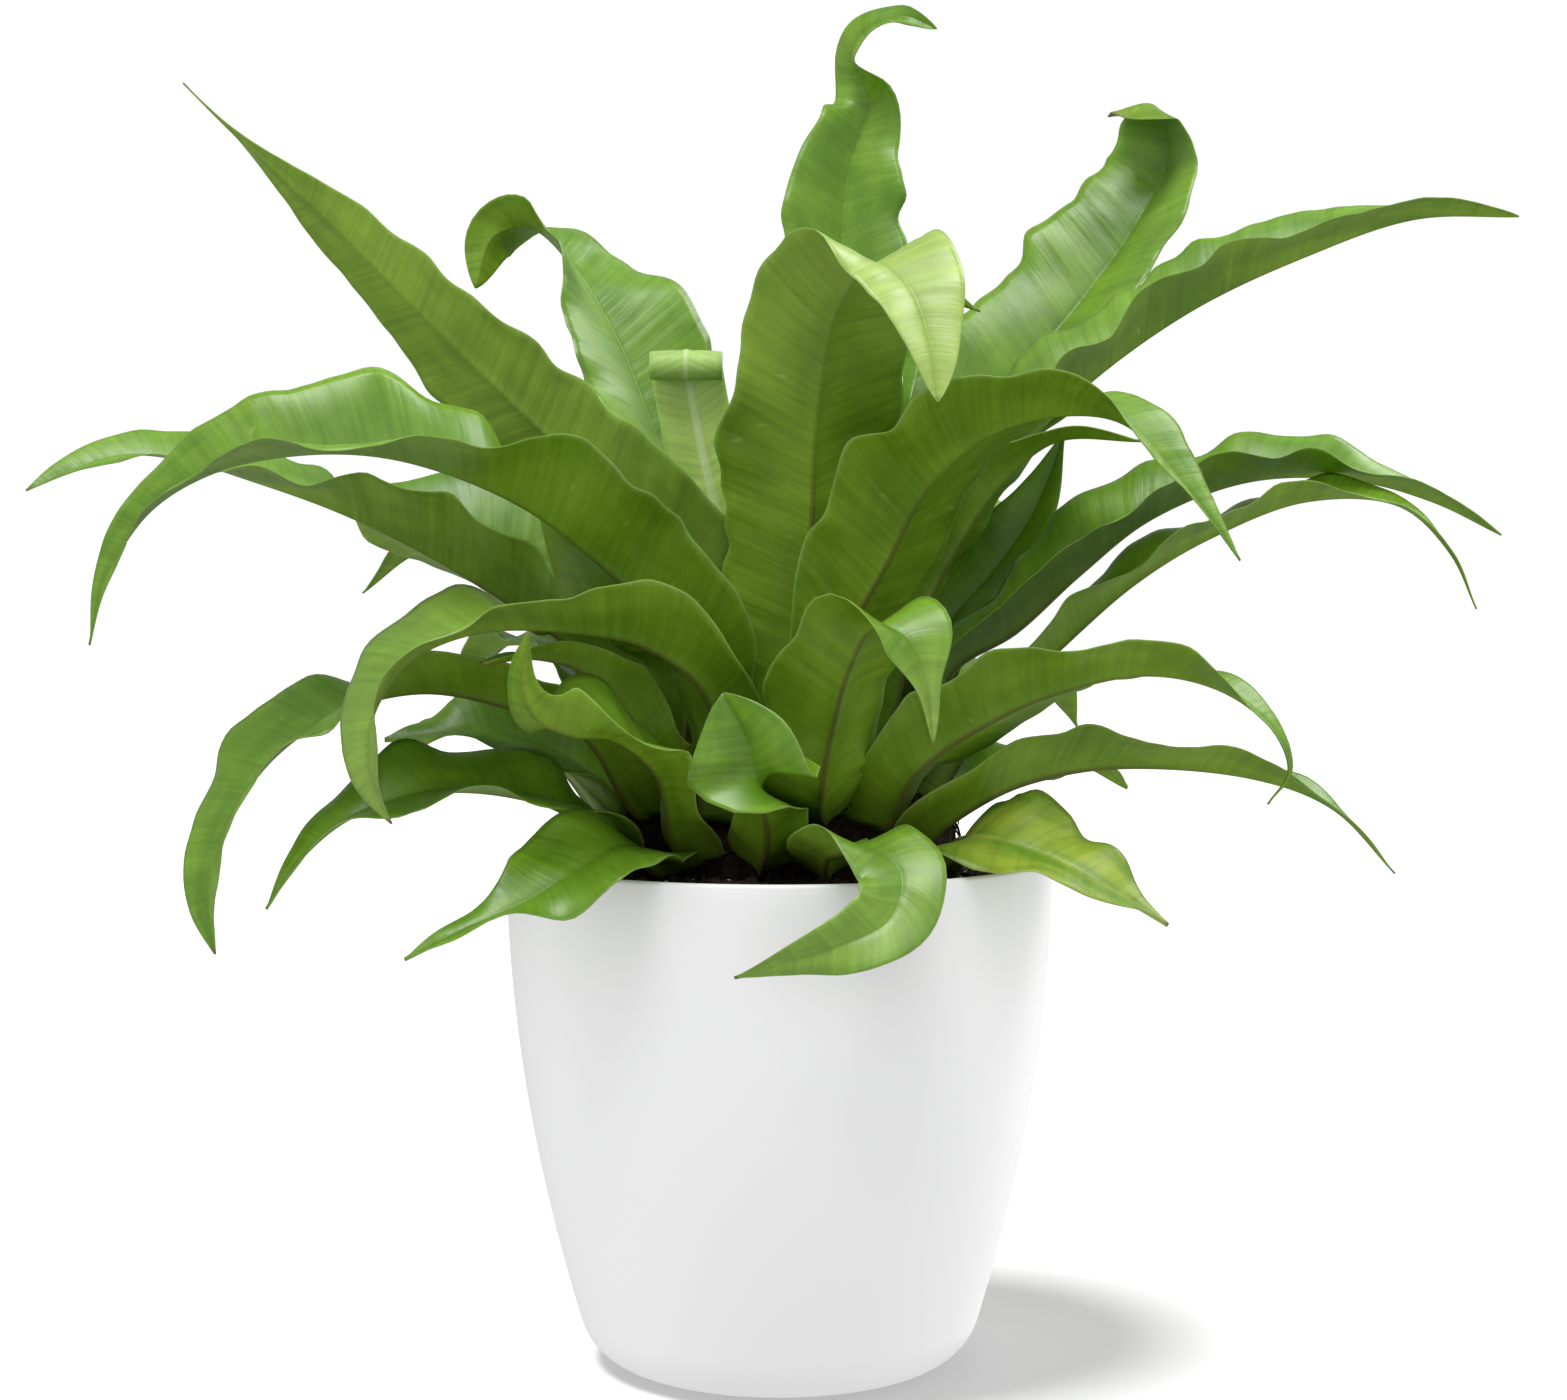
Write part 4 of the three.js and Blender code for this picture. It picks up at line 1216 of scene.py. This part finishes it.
# %% The lights
def lamp(name, kind, place, turn, **settings):
    """A light at a place, with its turn about x, y and z in radians and its settings."""
    data = bpy.data.lights.new(name, kind)
    for setting, value in settings.items():
        setattr(data, setting, value)
    light = bpy.data.objects.new(name, data)
    light.location = place
    light.rotation_euler = turn
    bpy.context.scene.collection.objects.link(light)
    return light


def group_of(name, piece, state="INCLUDE"):
    """A group of one piece, which a light that is linked to it takes in or leaves out."""
    group = bpy.data.collections.new(name)
    group.objects.link(bpy.data.objects[piece])
    group.collection_objects[0].light_linking.link_state = state
    return group


def area_light(name, place, target, size, power):
    """A square light of `size` metres at `place`, turned to `target`, that spares the floor."""
    x, y, z = np.array(target) - np.array(place)
    turn = (math.atan2(math.hypot(x, y), -z), 0, math.atan2(y, x) - math.pi / 2)
    light = lamp(name, "AREA", place, turn, size=size, energy=power)
    light.light_linking.receiver_collection = group_of(name + "_spared", "floor", "EXCLUDE")


area_light("key", (-0.25, -0.8, 2.0), (0, 0, 0.25), 0.9, 24)
area_light("rim", (1.1, 0.5, 1.5), (0, 0, 0.3), 0.8, 14)


# %% Suns for one piece alone
def sun_for(piece, strength, tilt, heading, angle):
    """A wide sun that shines on one piece only and is shaded by the pot only, as a lamp
    flagged off the plant would be. `tilt` is its angle from straight down and `heading` the
    clock angle that its shadows point to."""
    name = f"sun_{piece}_{heading:.0f}"
    turn = (math.radians(tilt), 0, math.radians(heading - 90))
    light = lamp(name, "SUN", (0, 0, 0), turn, energy=strength, angle=math.radians(angle))
    light.light_linking.receiver_collection = group_of(name + "_lit", piece)
    light.light_linking.blocker_collection = group_of(name + "_shading", "pot_shell")


sun_for("floor", 3.4, 20.0, 26.0, 20.0)
sun_for("pot_shell", 0.7, 80.0, 0.0, 60.0)
sun_for("pot_shell", 0.6, 80.0, 180.0, 60.0)


# %% The surround
def surround(light=0.94, mirrored=0.40, seen=1.05):
    """An even white surround: `light` is what reaches the plant, `mirrored` what its gloss
    shows, so that the lamps stand out in it, and `seen` what stands behind it."""
    world = bpy.data.worlds.new("surround")
    world.use_nodes = True
    nodes, links = world.node_tree.nodes, world.node_tree.links
    background = nodes["Background"]
    background.inputs["Color"].default_value = (1, 1, 1, 1)
    path = nodes.new("ShaderNodeLightPath")
    unseen = nodes.new("ShaderNodeMapRange")
    unseen.inputs["To Min"].default_value = light
    unseen.inputs["To Max"].default_value = mirrored
    links.new(path.outputs["Is Glossy Ray"], unseen.inputs["Value"])
    level = nodes.new("ShaderNodeMapRange")
    level.inputs["To Max"].default_value = seen
    links.new(unseen.outputs["Result"], level.inputs["To Min"])
    links.new(path.outputs["Is Camera Ray"], level.inputs["Value"])
    links.new(level.outputs["Result"], background.inputs["Strength"])
    bpy.context.scene.world = world
    bpy.context.scene.view_settings.view_transform = "Standard"


surround()

# %% The camera
CAMERA_PLACE = (0.0013, -0.9, 0.253)
CAMERA_LENS = 62.4
CAMERA_SHIFT = -0.0702
SENSOR_WIDTH = 36.0
NEAREST = 0.01

camera_data = bpy.data.cameras.new("camera")
camera_data.lens = CAMERA_LENS
camera_data.sensor_width = SENSOR_WIDTH
camera_data.shift_y = CAMERA_SHIFT
camera_data.clip_start = NEAREST
camera = bpy.data.objects.new("camera", camera_data)
camera.location = CAMERA_PLACE
camera.rotation_euler = (math.pi / 2, 0, 0)
bpy.context.scene.collection.objects.link(camera)
bpy.context.scene.camera = camera
